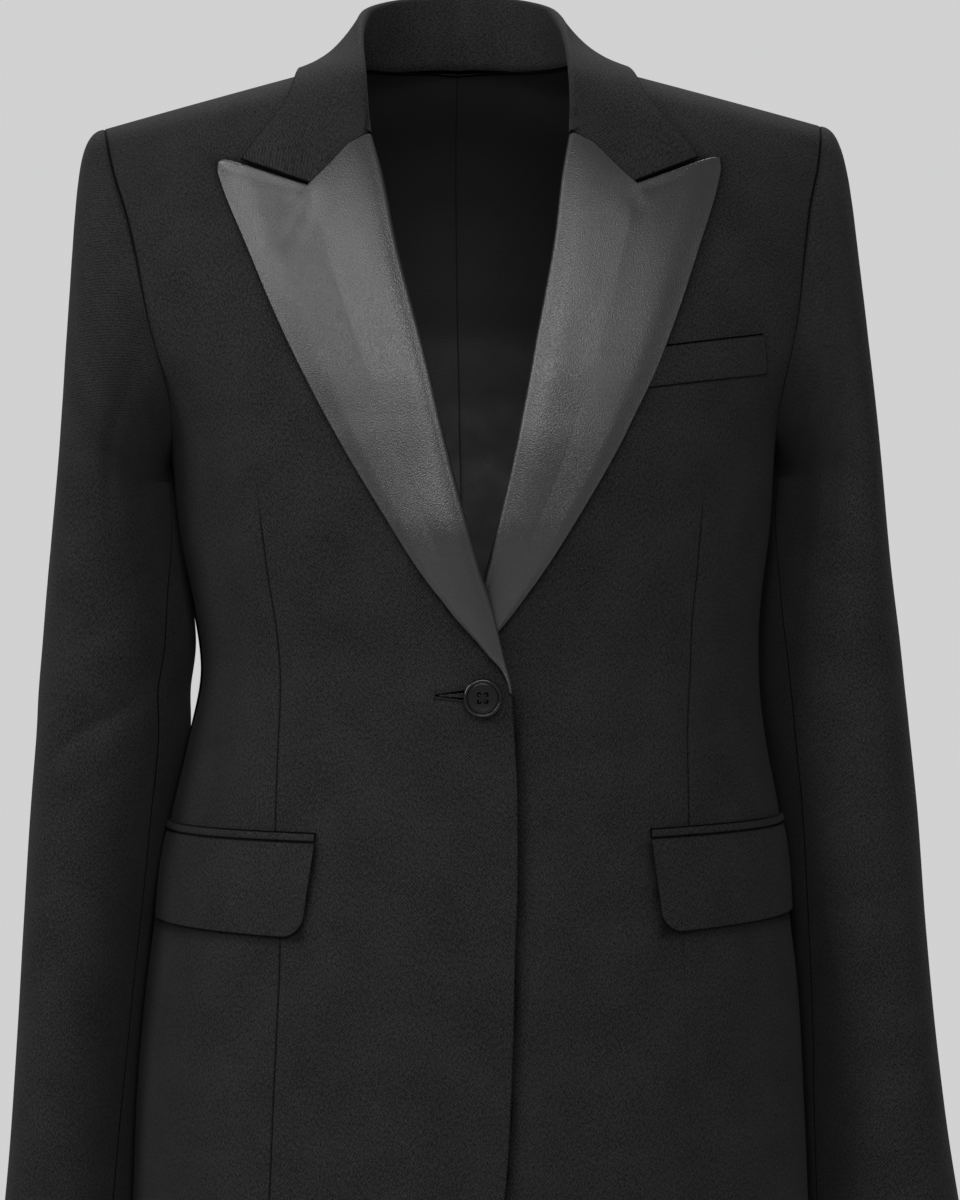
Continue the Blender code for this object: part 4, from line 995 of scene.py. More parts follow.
def button(name):
    """The four-hole button: a bold polished rim, a groove and a dished face."""
    place = button_place()
    low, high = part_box("front_button")
    radius, thick = (high[0] - low[0]) / 2.0 / MM, (high[1] - low[1]) / MM
    rim = size("button_rim")
    # Distance in from the edge (shares of the rim below 1) and height under the rim's top.
    back = ((radius, 4.05), (2.6, 4.2), (1.3, 3.85), (0.55, 3.2), (0.12, 2.3), (0.0, 1.75))
    top = ((0.03, 1.2), (0.13, 0.7), (0.3, 0.27), (0.5, 0.05), (0.66, 0.0), (0.8, 0.08),
           (0.93, 0.35), (1.0, 0.75), (1.05, 1.1), (1.14, 1.3), (1.24, 1.32), (1.32, 1.15),
           (1.42, 1.04), (1.6, 1.06), (2.1, 1.22), (2.8, 1.4), (3.6, 1.5))
    profile = [(radius - inset, thick - down) for inset, down in back]
    profile += [(radius - rim * share, thick - down) for share, down in top]
    profile.append((0.0, thick - DISH_DROP))
    mesh = turned(name, profile, 96, "button")
    piece = bpy.data.objects.new(name, mesh)
    bpy.context.scene.collection.objects.link(piece)
    piece.matrix_world = place
    drills = []
    for x, z in ((1, 1), (1, -1), (-1, -1), (-1, 1)):
        bore = ((0.0, -1.0), (HOLE_RADIUS, -1.0), (HOLE_RADIUS, thick - 2.1),
                (HOLE_RADIUS + 0.12, thick - 1.8), (HOLE_RADIUS + 0.75, thick - 1.0),
                (0.0, thick - 1.0))
        drill = bpy.data.objects.new("drill", turned("drill", bore, 28, "button"))
        bpy.context.scene.collection.objects.link(drill)
        drill.matrix_world = place @ Matrix.Translation((x * HOLE_STEP / 2.0 * MM,
                                                         z * HOLE_STEP / 2.0 * MM, 0.0))
        cut = piece.modifiers.new("hole", "BOOLEAN")
        cut.operation = "DIFFERENCE"
        cut.solver = "EXACT"
        cut.object = drill
        drills.append(drill)
    bpy.context.view_layer.update()
    seen = piece.evaluated_get(bpy.context.evaluated_depsgraph_get())
    drilled = bpy.data.meshes.new_from_object(seen)
    piece.modifiers.clear()
    piece.data = drilled
    drilled.name = name
    for drill in drills:
        bpy.data.objects.remove(drill)
    drilled.shade_smooth()
    drilled.set_sharp_from_angle(angle=math.radians(38.0))
    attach(piece, "root")
    return piece


def on_button(x, y, up):
    """Points in millimetres in the scene, from places on the button's own axes."""
    place = np.array(button_place())
    local = np.stack((x, y, up), axis=-1) * MM
    return (local @ place[:3, :3].T + place[:3, 3]) / MM


def button_thread(name):
    """The crossed strands over the button's face and the wound shank behind it."""
    low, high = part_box("front_button")
    dish = (high[1] - low[1]) / MM - DISH_DROP
    shape = bmesh.new()
    reach = HOLE_STEP / 2.0
    for crossing_turn, lift in ((1.0, 0.0), (-1.0, 0.34)):
        for strand in (-0.5, 0.0, 0.5):
            run = np.linspace(-1.0, 1.0, 19)
            past = np.clip(np.abs(run) - 0.93, 0.0, 1.0) / 0.07
            up = dish + 0.30 + lift * (1.0 - run ** 4) + 0.14 * (1.0 - np.abs(strand))
            up = up - 1.5 * past
            ahead = reach * run * 1.08
            x = ahead + strand * 0.62 * crossing_turn * (1.0 - 0.45 * run ** 2)
            y = crossing_turn * ahead - strand * 0.62 * (1.0 - 0.45 * run ** 2)
            tube(shape, on_button(x, y, up), (0.24, 0.24), 8)
    winding = np.linspace(0.0, 2.0 * math.pi * 7.0, 7 * 16)
    shank = on_button(1.9 * np.cos(winding), 1.9 * np.sin(winding),
                      0.25 - 1.9 * winding / winding[-1])
    tube(shape, shank, (0.3, 0.3), 6)
    return add_piece(name, mesh_of(name, shape, "thread"))


def hole_spot(out, rise, lift):
    """A point beside the buttonhole: out along it, `rise` above its line and `lift` off the cloth."""
    return on_front(-1.0, out, BUTTONHOLE_LEVEL + rise, lift)


def towards_button(out):
    """0 at the far end of the buttonhole and 1 beside the button."""
    return np.clip((BUTTONHOLE_END - out) / (BUTTONHOLE_END - BUTTONHOLE_START), 0.0, 1.0)


def buttonhole(name):
    """Two rows of purl stitches that part towards the button, and the bar that ends them."""
    shape = bmesh.new()
    stitch = 0.62
    count = int((BUTTONHOLE_END - BUTTONHOLE_START) / stitch * 5)
    out = np.linspace(BUTTONHOLE_START, BUTTONHOLE_END, count)
    gape = 0.6 + 3.2 * towards_button(out)
    knot = np.abs(np.sin(math.pi * (out - BUTTONHOLE_START) / stitch))
    for turn in (1.0, -1.0):
        rise = turn * (gape + 0.62) + 0.05 * np.sin(out * 2.1 + turn)
        line = hole_spot(out, rise, 0.30)
        tube(shape, line, np.stack((0.34 + 0.12 * knot, 0.72 + 0.14 * knot), axis=-1), 10)
    length = np.linspace(-2.9, 2.9, 30)
    knot = np.abs(np.sin(math.pi * length / 0.7))
    bar = hole_spot(BUTTONHOLE_END + 0.55 + 0.0 * length, length, 0.34)
    tube(shape, bar, np.stack((0.62 + 0.12 * knot, 0.46 + 0.1 * knot), axis=-1), 10)
    return add_piece(name, mesh_of(name, shape, "thread"))


def buttonhole_slit(name):
    """A near-black sheet between the two rows of stitches: painted shade where the slit opens."""
    out = np.linspace(BUTTONHOLE_START, BUTTONHOLE_END + 0.3, 40)[None, :]
    gape = 0.7 + 3.3 * towards_button(out)
    share = np.linspace(1.0, -1.0, 7)[:, None]
    grid = hole_spot(out + 0.0 * share, gape * share, 0.10 - 0.16 * (1.0 - share ** 2))
    return shell(name, grid, ("plain",) * 4, 0.25, 1.0,
                 (finish("opening"), finish("opening")))


# ---------------------------------------------------------------- finishes
# Near-black colour of the painted shade in seams, at turned edges, in pockets' mouths and beside pieces
# that lie on the cloth.
PAINTED_SHADE_COLOUR = (0.0008, 0.0008, 0.0008)


def new_group(name, inputs, outputs):
    """An empty shader group with named sockets: (name, kind, default) and (name, kind)."""
    group = bpy.data.node_groups.new(name, "ShaderNodeTree")
    for label, kind, value in inputs:
        socket = group.interface.new_socket(label, in_out="INPUT", socket_type=kind)
        if value is not None:
            socket.default_value = value
    for label, kind in outputs:
        group.interface.new_socket(label, in_out="OUTPUT", socket_type=kind)
    return group, group.nodes.new("NodeGroupInput"), group.nodes.new("NodeGroupOutput")


def feed(tree, node, values):
    """Link or set a node's inputs, from pairs of an input and a socket or a plain value."""
    for label, value in values:
        if isinstance(value, bpy.types.NodeSocket):
            tree.links.new(value, node.inputs[label])
        elif value is not None:
            node.inputs[label].default_value = value


def new_node(tree, kind, *values):
    """A shader node of this kind with its inputs fed."""
    node = tree.nodes.new("ShaderNode" + kind)
    feed(tree, node, values)
    return node


def math_node(tree, operation, *values):
    """A Math node with its inputs linked or set, as its output socket."""
    node = new_node(tree, "Math")
    node.operation = operation
    feed(tree, node, enumerate(values))
    return node.outputs[0]


def noise_node(tree, vector, scale, detail, rough=0.55):
    """A Noise Texture on a vector, as its factor socket."""
    return new_node(tree, "TexNoise", ("Scale", scale), ("Detail", detail),
                    ("Roughness", rough), ("Vector", vector)).outputs["Fac"]


def stretched(tree, vector, scale, turn=0.0):
    """The vector turned about Z and scaled on each axis."""
    return new_node(tree, "Mapping", ("Rotation", (0.0, 0.0, turn)), ("Scale", scale),
                    ("Vector", vector)).outputs["Vector"]


def wave(tree, turns, factor=1.0):
    """Rises from 0 to 1 and falls again once in each turn of the value."""
    angle = math_node(tree, "MULTIPLY", turns, 2.0 * math.pi * factor)
    return math_node(tree, "MULTIPLY_ADD", math_node(tree, "SINE", angle), 0.5, 0.5)


def diagonal(tree, operation, split, pitch):
    """Distance in pitches along one diagonal of the cloth (SUBTRACT) or the other (ADD)."""
    run = math_node(tree, operation, split.outputs["X"], split.outputs["Y"])
    return math_node(tree, "DIVIDE", math_node(tree, "MULTIPLY", run, 0.7071), pitch)


def twill_group():
    """Twill weave: diagonal ribs crossed by yarns, with uneven fibres. Lengths are in metres."""
    group, start, end = new_group(
        "Twill weave",
        (("Cloth", "NodeSocketVector", None), ("Rib pitch", "NodeSocketFloat", 0.00125),
         ("Unevenness", "NodeSocketFloat", 0.35)),
        (("Height", "NodeSocketFloat"), ("Rib", "NodeSocketFloat"),
         ("Fibre", "NodeSocketFloat"), ("Patch", "NodeSocketFloat")))
    cloth = start.outputs["Cloth"]
    wobble = math_node(group, "MULTIPLY", math_node(
        group, "SUBTRACT", noise_node(group, cloth, 260.0, 2.0), 0.5), start.outputs["Unevenness"])
    split = new_node(group, "SeparateXYZ", ("Vector", cloth))
    pitch = start.outputs["Rib pitch"]
    rib = wave(group, math_node(group, "ADD", diagonal(group, "SUBTRACT", split, pitch), wobble))
    yarn = wave(group, diagonal(group, "ADD", split, pitch), 1.7)
    fibre = noise_node(group, stretched(group, cloth, (1.0, 0.55, 1.0), 0.785), 1250.0, 1.5, 0.8)
    slub = noise_node(group, stretched(group, cloth, (1.0, 0.7, 1.0), -0.785), 620.0, 1.0, 0.6)
    fibre = math_node(group, "MULTIPLY_ADD", fibre, 0.75, math_node(group, "MULTIPLY", slub, 0.25))
    height = math_node(group, "ADD", math_node(group, "MULTIPLY", rib, 0.62),
                       math_node(group, "MULTIPLY", math_node(group, "MULTIPLY", rib, yarn), 0.22))
    height = math_node(group, "MULTIPLY_ADD", fibre, 1.2, math_node(group, "MULTIPLY", height, 0.5))
    patch = noise_node(group, cloth, 26.0, 3.0, 0.6)
    feed(group, end, (("Height", height), ("Rib", rib), ("Fibre", fibre), ("Patch", patch)))
    return group


def satin_group():
    """Satin weave: long floats along the cloth with fine breaks and a slow unevenness."""
    group, start, end = new_group(
        "Satin weave",
        (("Cloth", "NodeSocketVector", None), ("Fineness", "NodeSocketFloat", 2600.0)),
        (("Height", "NodeSocketFloat"), ("Thread", "NodeSocketFloat"),
         ("Patch", "NodeSocketFloat")))
    cloth = start.outputs["Cloth"]
    fineness = start.outputs["Fineness"]
    lines = noise_node(group, stretched(group, cloth, (1.0, 0.1, 1.0)), fineness, 2.0, 0.5)
    cross = noise_node(group, stretched(group, cloth, (0.16, 1.0, 1.0)), fineness, 1.0, 0.5)
    height = math_node(group, "MULTIPLY_ADD", cross, 0.35, lines)
    grain = noise_node(group, cloth, 1150.0, 1.0, 0.7)
    height = math_node(group, "MULTIPLY_ADD", grain, 2.4, height)
    patch = noise_node(group, cloth, 55.0, 3.0, 0.55)
    thread = math_node(group, "MULTIPLY_ADD", grain, 0.7, math_node(group, "MULTIPLY", lines, 0.3))
    feed(group, end, (("Height", height), ("Thread", thread), ("Patch", patch)))
    return group


def wear_group():
    """Fine handling marks of a polished surface: a scratch mask and a roughness."""
    group, start, end = new_group(
        "Handling marks",
        (("Place", "NodeSocketVector", None), ("Least", "NodeSocketFloat", 0.12),
         ("Most", "NodeSocketFloat", 0.3)),
        (("Roughness", "NodeSocketFloat"), ("Height", "NodeSocketFloat")))
    marks = noise_node(group, start.outputs["Place"], 900.0, 4.0, 0.65)
    fine = noise_node(group, stretched(group, start.outputs["Place"], (1.0, 14.0, 1.0), 0.6),
                      420.0, 2.0)
    both = math_node(group, "MULTIPLY", marks, fine)
    spread = math_node(group, "SUBTRACT", start.outputs["Most"], start.outputs["Least"])
    rough = math_node(group, "MULTIPLY_ADD", math_node(group, "MULTIPLY", both, 2.6), spread,
                      start.outputs["Least"])
    feed(group, end, (("Roughness", rough), ("Height", both)))
    return group


def mixed(tree, one, two, share):
    """A colour between two others, by a mask."""
    mix = new_node(tree, "Mix")
    mix.data_type = "RGBA"
    feed(tree, mix, (("A", one), ("B", two), ("Factor", share)))
    return mix.outputs["Result"]


def with_painted_shade(tree, colour, shader, rough):
    """Paint shade into a cloth's colour and take its shine away where the seam_shade attribute says:
    in seams, at turned edges, in pockets' mouths and beside pieces that lie on the cloth; link them to
    the shader.
    """
    attribute = new_node(tree, "Attribute")
    attribute.attribute_name = "seam_shade"
    shade = attribute.outputs["Fac"]
    feed(tree, shader, (("Base Color", mixed(tree, colour, (*PAINTED_SHADE_COLOUR, 1.0), shade)),
                        ("Roughness", math_node(tree, "MAXIMUM", rough, shade)),
                        ("Metallic", shade)))


def shaded(tree, colour, low, high, mask):
    """A colour that swings between `low` and `high` times itself with a mask."""
    return mixed(tree, (*(part * low for part in colour), 1.0),
                 (*(part * high for part in colour), 1.0), mask)


def new_finish(name):
    """A new material with its Principled BSDF, and its node tree."""
    material = bpy.data.materials.new("jacket_" + name)
    material.use_nodes = True
    tree = material.node_tree
    return material, tree, tree.nodes["Principled BSDF"]


def weave_in(tree, group, values):
    """Place a weave group on the cloth's own coordinates."""
    cloth = new_node(tree, "UVMap")
    cloth.uv_map = "cloth"
    weave = new_node(tree, "Group")
    weave.node_tree = group
    feed(tree, weave, (("Cloth", cloth.outputs["UV"]),) + values)
    return weave


def bump(tree, height, distance, strength, shader):
    """Link a height to the shader's normal."""
    node = new_node(tree, "Bump", ("Distance", distance), ("Strength", strength),
                    ("Height", height))
    feed(tree, shader, (("Normal", node.outputs["Normal"]),))


def wool_finish(look):
    """Black wool twill: fine diagonal ribs, matt, with a little fibre sheen."""
    material, tree, shader = new_finish("wool")
    weave = weave_in(tree, bpy.data.node_groups["Twill weave"],
                     (("Rib pitch", look.twill_pitch), ("Unevenness", 0.5)))
    tone = math_node(tree, "MULTIPLY_ADD", weave.outputs["Fibre"], 3.7,
                     math_node(tree, "MULTIPLY", weave.outputs["Rib"], 0.44))
    tone = math_node(tree, "MULTIPLY_ADD", weave.outputs["Patch"], 0.7,
                     math_node(tree, "SUBTRACT", tone, 1.92))
    rough = math_node(tree, "MULTIPLY_ADD", weave.outputs["Fibre"], -0.5, 1.05)
    # Painted shade from the seam_shade attribute darkens the colour and takes the shine away.
    with_painted_shade(tree, shaded(tree, look.wool_colour, 0.2, 2.3, tone), shader, rough)
    feed(tree, shader, (("Specular IOR Level", 0.30), ("Sheen Weight", 0.05),
                        ("Sheen Roughness", 0.5)))
    bump(tree, weave.outputs["Height"], 0.00032, 1.0, shader)
    return material


def satin_finish(look):
    """Black silk satin: smooth threads and a broad, soft shine."""
    material, tree, shader = new_finish("satin")
    weave = weave_in(tree, bpy.data.node_groups["Satin weave"], (("Fineness", 2400.0),))
    tone = math_node(tree, "MULTIPLY_ADD", weave.outputs["Thread"], 0.7,
                     math_node(tree, "MULTIPLY", weave.outputs["Patch"], 0.3))
    rough = math_node(tree, "MULTIPLY_ADD", weave.outputs["Thread"], 0.14, look.satin_roughness)
    rough = math_node(tree, "MULTIPLY_ADD", weave.outputs["Patch"], 0.08, rough)
    # Painted shade from the seam_shade attribute darkens the colour and takes the shine away.
    with_painted_shade(tree, shaded(tree, look.satin_colour, 0.3, 1.7, tone), shader, rough)
    feed(tree, shader, (("Specular IOR Level", 1.0), ("IOR", 1.68), ("Sheen Weight", 0.03),
                        ("Sheen Roughness", 0.35), ("Anisotropic", 0.25)))
    bump(tree, weave.outputs["Height"], 0.00012, 1.0, shader)
    return material


def lining_finish(look):
    """The dark lining that shows inside the neck, the cuffs and the hem."""
    material, tree, shader = new_finish("lining")
    weave = weave_in(tree, bpy.data.node_groups["Satin weave"], (("Fineness", 1900.0),))
    rough = math_node(tree, "MULTIPLY_ADD", weave.outputs["Patch"], 0.2, 0.38)
    colour = shaded(tree, look.lining_colour, 0.7, 1.3, weave.outputs["Thread"])
    feed(tree, shader, (("Base Color", colour), ("Roughness", rough),
                        ("Specular IOR Level", 0.45), ("Sheen Weight", 0.05)))
    bump(tree, weave.outputs["Height"], 0.00008, 0.5, shader)
    return material


def buttonhole_shade_finish(look):
    """Painted shade for the buttonhole's slit: near black, with no shine."""
    material, tree, shader = new_finish("opening")
    weave = weave_in(tree, bpy.data.node_groups["Satin weave"], (("Fineness", 1900.0),))
    colour = shaded(tree, look.buttonhole_shade_colour, 0.6, 1.4, weave.outputs["Thread"])
    feed(tree, shader, (("Base Color", colour), ("Roughness", 1.0), ("Metallic", 1.0),
                        ("Specular IOR Level", 0.05)))
    return material


def on_object(tree):
    """Coordinates of a small hard piece in its own space."""
    return new_node(tree, "TexCoord").outputs["Object"]


def button_finish(look):
    """Polished black horn: glossy, with the faint marks of handling and grain."""
    material, tree, shader = new_finish("button")
    place = on_object(tree)
    wear = new_node(tree, "Group")
    wear.node_tree = bpy.data.node_groups["Handling marks"]
    feed(tree, wear, (("Least", 0.10), ("Most", 0.24), ("Place", place)))
    grain = noise_node(tree, stretched(tree, place, (1.0, 5.0, 1.0), 0.4), 160.0, 4.0)
    feed(tree, shader, (("Base Color", shaded(tree, look.button_colour, 0.5, 2.2, grain)),
                        ("Roughness", wear.outputs["Roughness"]), ("Specular IOR Level", 0.6),
                        ("Coat Weight", 0.5), ("Coat Roughness", 0.06)))
    bump(tree, wear.outputs["Height"], 0.00002, 0.4, shader)
    return material


def thread_finish(look):
    """Black silk sewing thread with its twist."""
    material, tree, shader = new_finish("thread")
    place = on_object(tree)
    twist = noise_node(tree, stretched(tree, place, (1.0, 1.0, 3.0), 0.5), 2600.0, 2.0)
    rough = math_node(tree, "MULTIPLY_ADD", twist, 0.25, 0.5)
    feed(tree, shader, (("Base Color", shaded(tree, look.thread_colour, 0.6, 1.5, twist)),
                        ("Roughness", rough), ("Specular IOR Level", 0.35),
                        ("Sheen Weight", 0.1)))
    bump(tree, twist, 0.00012, 0.6, shader)
    return material


def floor_finish(look):
    """The pale studio floor: plain from above, and clear from below."""
    material, tree, shader = new_finish("floor")
    mottle = noise_node(tree, on_object(tree), 3.0, 3.0)
    feed(tree, shader, (("Base Color", shaded(tree, look.floor_colour, 0.97, 1.03, mottle)),
                        ("Roughness", 0.85), ("Specular IOR Level", 0.15)))
    clear = new_node(tree, "BsdfTransparent")
    choose = new_node(tree, "MixShader", ("Fac", new_node(tree, "NewGeometry").outputs["Backfacing"]),
                      (1, shader.outputs["BSDF"]), (2, clear.outputs["BSDF"]))
    feed(tree, tree.nodes["Material Output"], (("Surface", choose.outputs["Shader"]),))
    return material


FINISHES = {"wool": wool_finish, "satin": satin_finish, "lining": lining_finish,
            "opening": buttonhole_shade_finish, "button": button_finish, "thread": thread_finish,
            "floor": floor_finish}


def finish(name):
    """The material of this name, made from the scene's settings when it is first asked for."""
    material = bpy.data.materials.get("jacket_" + name)
    return material or FINISHES[name](bpy.context.scene.jacket_finishes)


# ---------------------------------------------------------------- settings
def length_setting(name, description, default, least, most):
    """A setting in metres."""
    return bpy.props.FloatProperty(name=name, description=description, default=default,
                                   min=least, max=most, unit="LENGTH", subtype="DISTANCE")


def colour_setting(name, description, *default):
    """A colour setting."""
    return bpy.props.FloatVectorProperty(name=name, description="Colour of the " + description,
                                         subtype="COLOR", size=3, default=default,
                                         min=0.0, max=1.0)


def power_setting(name, description, default):
    """The power of a light."""
    return bpy.props.FloatProperty(name=name, description="Power of the " + description,
                                   default=default, min=0.0, max=400.0, unit="POWER")


class JacketSizes(bpy.types.PropertyGroup):
    """Sizes of the cloth and its trim."""

    cloth_cell: length_setting("Cloth cell", "Spacing of the mesh on the large panels",
                               0.004, 0.002, 0.02)
    wall: length_setting("Cloth wall", "Thickness of fronts, backs and sleeves",
                         0.0018, 0.001, 0.004)
    lapel_wall: length_setting("Lapel wall", "Thickness of lapels and collar",
                               0.0017, 0.001, 0.004)
    trim_wall: length_setting("Flap wall", "Thickness of the pocket flaps", 0.0014, 0.0008, 0.003)
    lapel_swell: length_setting("Lapel swell", "How far the satin lifts beside its roll",
                                0.0022, 0.0, 0.006)
    dart_depth: length_setting("Dart depth", "Depth of the front darts' sewn lines",
                               0.0009, 0.0, 0.002)
    button_rim: length_setting("Button rim", "Width of the button's raised rim",
                               0.0022, 0.001, 0.004)


class JacketFinishes(bpy.types.PropertyGroup):
    """Colours and weaves."""

    wool_colour: colour_setting("Wool", "wool twill", 0.0180, 0.0172, 0.0186)
    satin_colour: colour_setting("Satin", "satin lapels", 0.020, 0.020, 0.0215)
    lining_colour: colour_setting("Lining", "lining", 0.010, 0.010, 0.0108)
    # Colour of the painted shade in the buttonhole's slit.
    buttonhole_shade_colour: colour_setting("Opening", "inside of the buttonhole", 0.0015, 0.0015, 0.0016)
    button_colour: colour_setting("Button", "button", 0.0035, 0.0035, 0.0038)
    thread_colour: colour_setting("Thread", "buttonhole and button thread", 0.0060, 0.0060, 0.0063)
    floor_colour: colour_setting("Floor", "studio floor", 0.80, 0.80, 0.80)
    twill_pitch: length_setting("Twill pitch", "Distance from one diagonal rib to the next",
                                0.00135, 0.0004, 0.004)
    satin_roughness: bpy.props.FloatProperty(
        name="Satin roughness", description="Lower is shinier",
        default=0.24, min=0.05, max=0.8, subtype="FACTOR")


class JacketStudio(bpy.types.PropertyGroup):
    """Camera, lights and floor."""

    backdrop: bpy.props.FloatProperty(
        name="Backdrop", description="Brightness of the plain grey surroundings",
        default=0.64, min=0.0, max=2.0)
    soft_light: bpy.props.FloatProperty(
        name="Soft light", description="Light that the surroundings throw on the jacket",
        default=0.180, min=0.0, max=2.0)
    key_power: power_setting("Key light", "large soft light at the upper left", 11.6)
    front_power: power_setting("Front light", "soft light over the camera", 16.0)
    top_power: power_setting("Top light", "soft light over the shoulders", 18.0)
    floor_level: length_setting("Floor level",
                                "Height of the floor under the jacket as it is worn", -1.40, -2.0, -0.8)
    camera_distance: length_setting("Camera distance",
                                    "From the camera to the middle of the jacket", 2.8, 1.0, 10.0)
    camera_turn: bpy.props.FloatProperty(
        name="Camera turn", description="How far the camera stands off the front",
        default=math.radians(-3.3), min=-math.pi, max=math.pi, subtype="ANGLE")
    camera_roll: bpy.props.FloatProperty(
        name="Camera roll", description="Tilt of the picture",
        default=math.radians(0.6), min=-0.5, max=0.5, subtype="ANGLE")


# ---------------------------------------------------------------- operators
SIDES = (("left", 1.0), ("right", -1.0))

# The studio, in metres. LIGHTS: name, its power setting, place, width and height.
LIGHT_AIM = (0.0, 0.0, -0.30)
LIGHTS = (
    ("key_light", "key_power", (-1.6, -0.9, 0.7), 0.8, 1.2),
    ("front_light", "front_power", (0.0, -2.4, 0.9), 1.4, 0.8),
    ("top_light", "top_power", (0.2, 1.3, 1.9), 1.8, 0.9),
)
CAMERA_TARGET = (0.0072, 0.0, -0.322)
CAMERA_LENS, CAMERA_SENSOR, CAMERA_REACH = 140.0, 36.0, 60.0    # mm, mm and metres
FLOOR_RADIUS = 4.0
BLUE_CAST = 1.003           # the photo's grey is this much bluer than neutral


def dress(piece, node):
    """Hide the frame's node that a piece of cloth stands for, and hand the piece back."""
    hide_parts(node)
    return piece


class JACKET_OT_fronts(bpy.types.Operator):
    """Make the two fronts with their darts and creases"""

    bl_idname = "jacket.fronts"
    bl_label = "Fronts"

    def execute(self, context):
        for name, side in SIDES:
            dress(front_panel("cloth_front_" + name, side), "front_" + name)
        return {"FINISHED"}


class JACKET_OT_backs(bpy.types.Operator):
    """Make the two backs, joined at the centre back seam"""

    bl_idname = "jacket.backs"
    bl_label = "Backs"

    def execute(self, context):
        for name, side in SIDES:
            dress(back_panel("cloth_back_" + name, side), "back_" + name)
        return {"FINISHED"}


class JACKET_OT_lapels(bpy.types.Operator):
    """Make the two satin peak lapels"""

    bl_idname = "jacket.lapels"
    bl_label = "Lapels"

    def execute(self, context):
        for name, side in SIDES:
            dress(lapel("cloth_lapel_" + name, side), "lapel_" + name)
        return {"FINISHED"}


class JACKET_OT_collar(bpy.types.Operator):
    """Make the upper collar with its stand, fold and fall"""

    bl_idname = "jacket.collar"
    bl_label = "Collar"

    def execute(self, context):
        dress(collar("cloth_collar"), "collar")
        return {"FINISHED"}


class JACKET_OT_sleeves(bpy.types.Operator):
    """Make the top and under pieces of both sleeves"""

    bl_idname = "jacket.sleeves"
    bl_label = "Sleeves"

    def execute(self, context):
        for name, side in SIDES:
            for kind in ("top_sleeve", "under_sleeve"):
                piece = sleeve_part(f"cloth_{kind}_{name}", side, kind == "under_sleeve")
                dress(piece, f"{kind}_{name}")
        return {"FINISHED"}


class JACKET_OT_pockets(bpy.types.Operator):
    """Make the flaps and jets of the side pockets and the welt of the chest pocket"""

    bl_idname = "jacket.pockets"
    bl_label = "Pockets"

    def execute(self, context):
        for name, side in SIDES:
            dress(pocket_flap("cloth_flap_" + name, side), "pocket_flap_" + name)
            dress(pocket_jet("cloth_jet_" + name, side), "pocket_jet_" + name)
        dress(chest_welt("cloth_welt"), "chest_welt")
        return {"FINISHED"}


class JACKET_OT_button(bpy.types.Operator):
    """Make the front button, its thread and the buttonhole"""

    bl_idname = "jacket.button"
    bl_label = "Button and buttonhole"

    def execute(self, context):
        piece = button("button_body")
        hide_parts("front_button")
        button_thread("button_thread")
        buttonhole("buttonhole_stitches")
        buttonhole_slit("buttonhole_slit")
        return {"FINISHED"}


def set_surroundings(scene, studio):
    """Plain surroundings: one grey for the camera to see and another to light the jacket."""
    world = bpy.data.worlds.new("studio")
    world.use_nodes = True
    tree = world.node_tree
    feed(tree, tree.nodes["Background"], (("Color", grey(studio.soft_light)),))
    seen = new_node(tree, "Background", ("Color", grey(studio.backdrop)))
    direct = new_node(tree, "LightPath").outputs["Is Camera Ray"]
    choose = new_node(tree, "MixShader", ("Fac", direct),
                      (1, tree.nodes["Background"].outputs["Background"]),
                      (2, seen.outputs["Background"]))
    feed(tree, tree.nodes["World Output"], (("Surface", choose.outputs["Shader"]),))
    scene.world = world
    scene.view_settings.view_transform = "Standard"
    scene.view_settings.look = "None"


def grey(value):
    """The studio's grey at this brightness."""
    return (value, value, value * BLUE_CAST, 1.0)


def set_floor(scene, studio):
    """The round floor under the jacket, which isn't part of it."""
    shape = bmesh.new()
    bmesh.ops.create_circle(shape, cap_ends=True, radius=FLOOR_RADIUS, segments=96)
    mesh = bpy.data.meshes.new("floor")
    shape.to_mesh(mesh)
    shape.free()
    mesh.materials.append(finish("floor"))
    floor = bpy.data.objects.new("floor", mesh)
    floor.location = (0.0, 0.0, studio.floor_level)
    scene.collection.objects.link(floor)


def set_camera(scene, studio):
    """The camera at the photo's angle."""
    camera = bpy.data.objects.new("camera", bpy.data.cameras.new("camera"))
    camera.data.lens = CAMERA_LENS
    camera.data.sensor_width = CAMERA_SENSOR
    camera.data.clip_end = CAMERA_REACH
    back = Vector((math.sin(studio.camera_turn), -math.cos(studio.camera_turn), 0.0))
    camera.location = Vector(CAMERA_TARGET) + back * studio.camera_distance
    turn = (-back).to_track_quat("-Z", "Y").to_matrix().to_4x4()
    turn = turn @ Matrix.Rotation(-studio.camera_roll, 4, "Z")
    camera.rotation_euler = turn.to_euler()
    scene.collection.objects.link(camera)
    scene.camera = camera


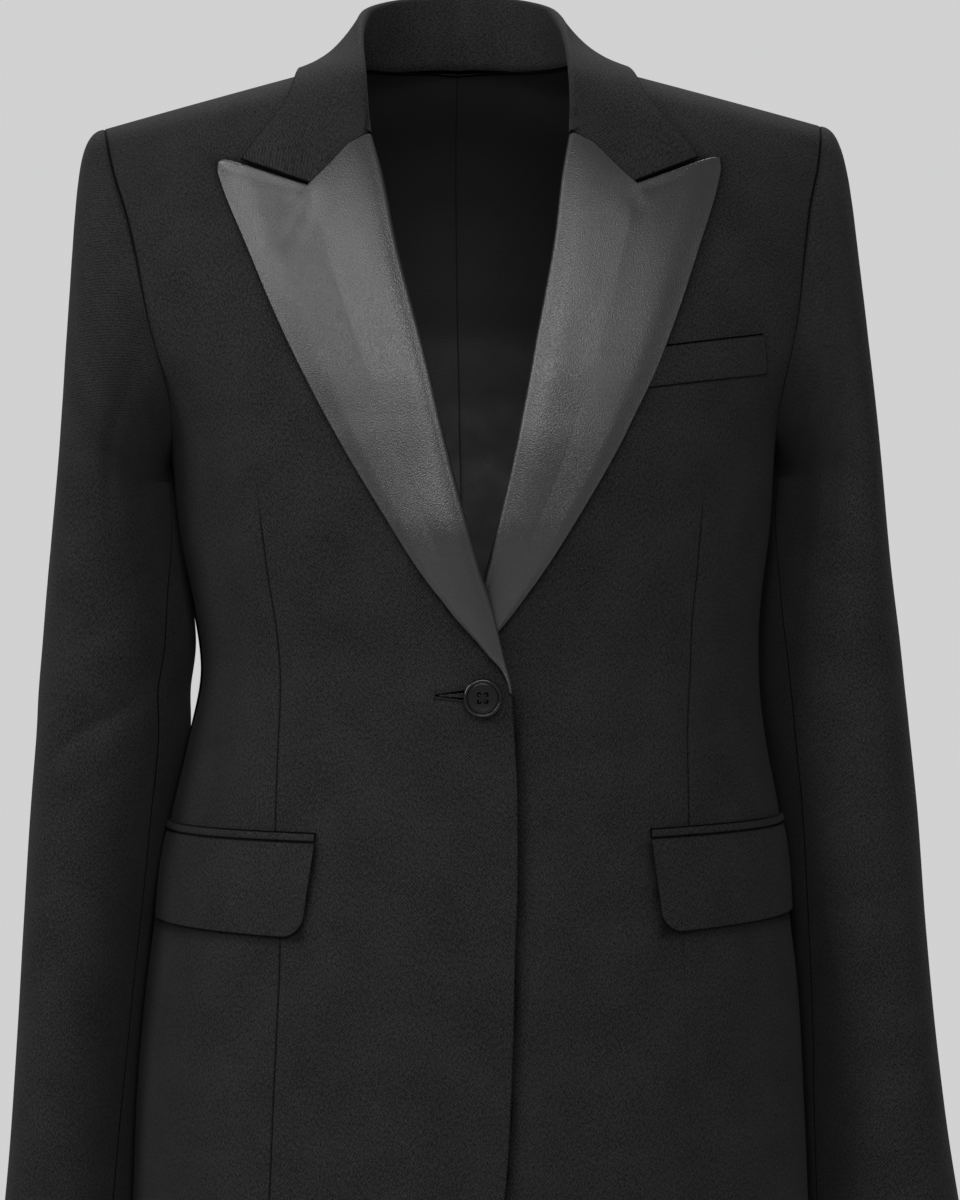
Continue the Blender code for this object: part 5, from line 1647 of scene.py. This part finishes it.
class JACKET_OT_studio(bpy.types.Operator):
    """Set up the floor, the soft lights, the plain surroundings and the camera"""

    bl_idname = "jacket.studio"
    bl_label = "Studio"

    def execute(self, context):
        scene = context.scene
        studio = scene.jacket_studio
        set_surroundings(scene, studio)
        set_floor(scene, studio)
        for name, setting, spot, width, height in LIGHTS:
            lamp = bpy.data.lights.new(name, "AREA")
            lamp.shape = "RECTANGLE"
            lamp.energy = getattr(studio, setting)
            lamp.size, lamp.size_y = width, height
            light = bpy.data.objects.new(name, lamp)
            light.location = spot
            aim = Vector(LIGHT_AIM) - light.location
            light.rotation_euler = aim.to_track_quat("-Z", "Y").to_euler()
            scene.collection.objects.link(light)
        set_camera(scene, studio)
        return {"FINISHED"}


class JACKET_PT_panel(bpy.types.Panel):
    """Sidebar panel with the steps and the settings of the jacket"""

    bl_idname = "JACKET_PT_panel"
    bl_label = "Tuxedo Jacket"
    bl_space_type = "VIEW_3D"
    bl_region_type = "UI"
    bl_category = "Jacket"

    def draw(self, context):
        layout = self.layout
        for step in STEPS:
            layout.operator(step.bl_idname)
        for settings in (context.scene.jacket_sizes, context.scene.jacket_finishes,
                         context.scene.jacket_studio):
            box = layout.box()
            for name in settings.__annotations__:
                box.prop(settings, name)


STEPS = (JACKET_OT_fronts, JACKET_OT_backs, JACKET_OT_lapels, JACKET_OT_collar,
         JACKET_OT_sleeves, JACKET_OT_pockets, JACKET_OT_button, JACKET_OT_studio)
GROUPS = (("jacket_sizes", JacketSizes), ("jacket_finishes", JacketFinishes),
          ("jacket_studio", JacketStudio))


def register():
    for name, group in GROUPS:
        bpy.utils.register_class(group)
        setattr(bpy.types.Scene, name, bpy.props.PointerProperty(type=group))
    for item in STEPS + (JACKET_PT_panel,):
        bpy.utils.register_class(item)


def unregister():
    for item in (JACKET_PT_panel,) + STEPS[::-1]:
        bpy.utils.unregister_class(item)
    for name, group in GROUPS[::-1]:
        delattr(bpy.types.Scene, name)
        bpy.utils.unregister_class(group)


def main():
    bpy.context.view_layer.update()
    register()
    for group in (twill_group, satin_group, wear_group):
        group()
    for step in STEPS:
        getattr(bpy.ops.jacket, step.bl_idname.split(".")[1])()


if __name__ == "__main__":
    main()
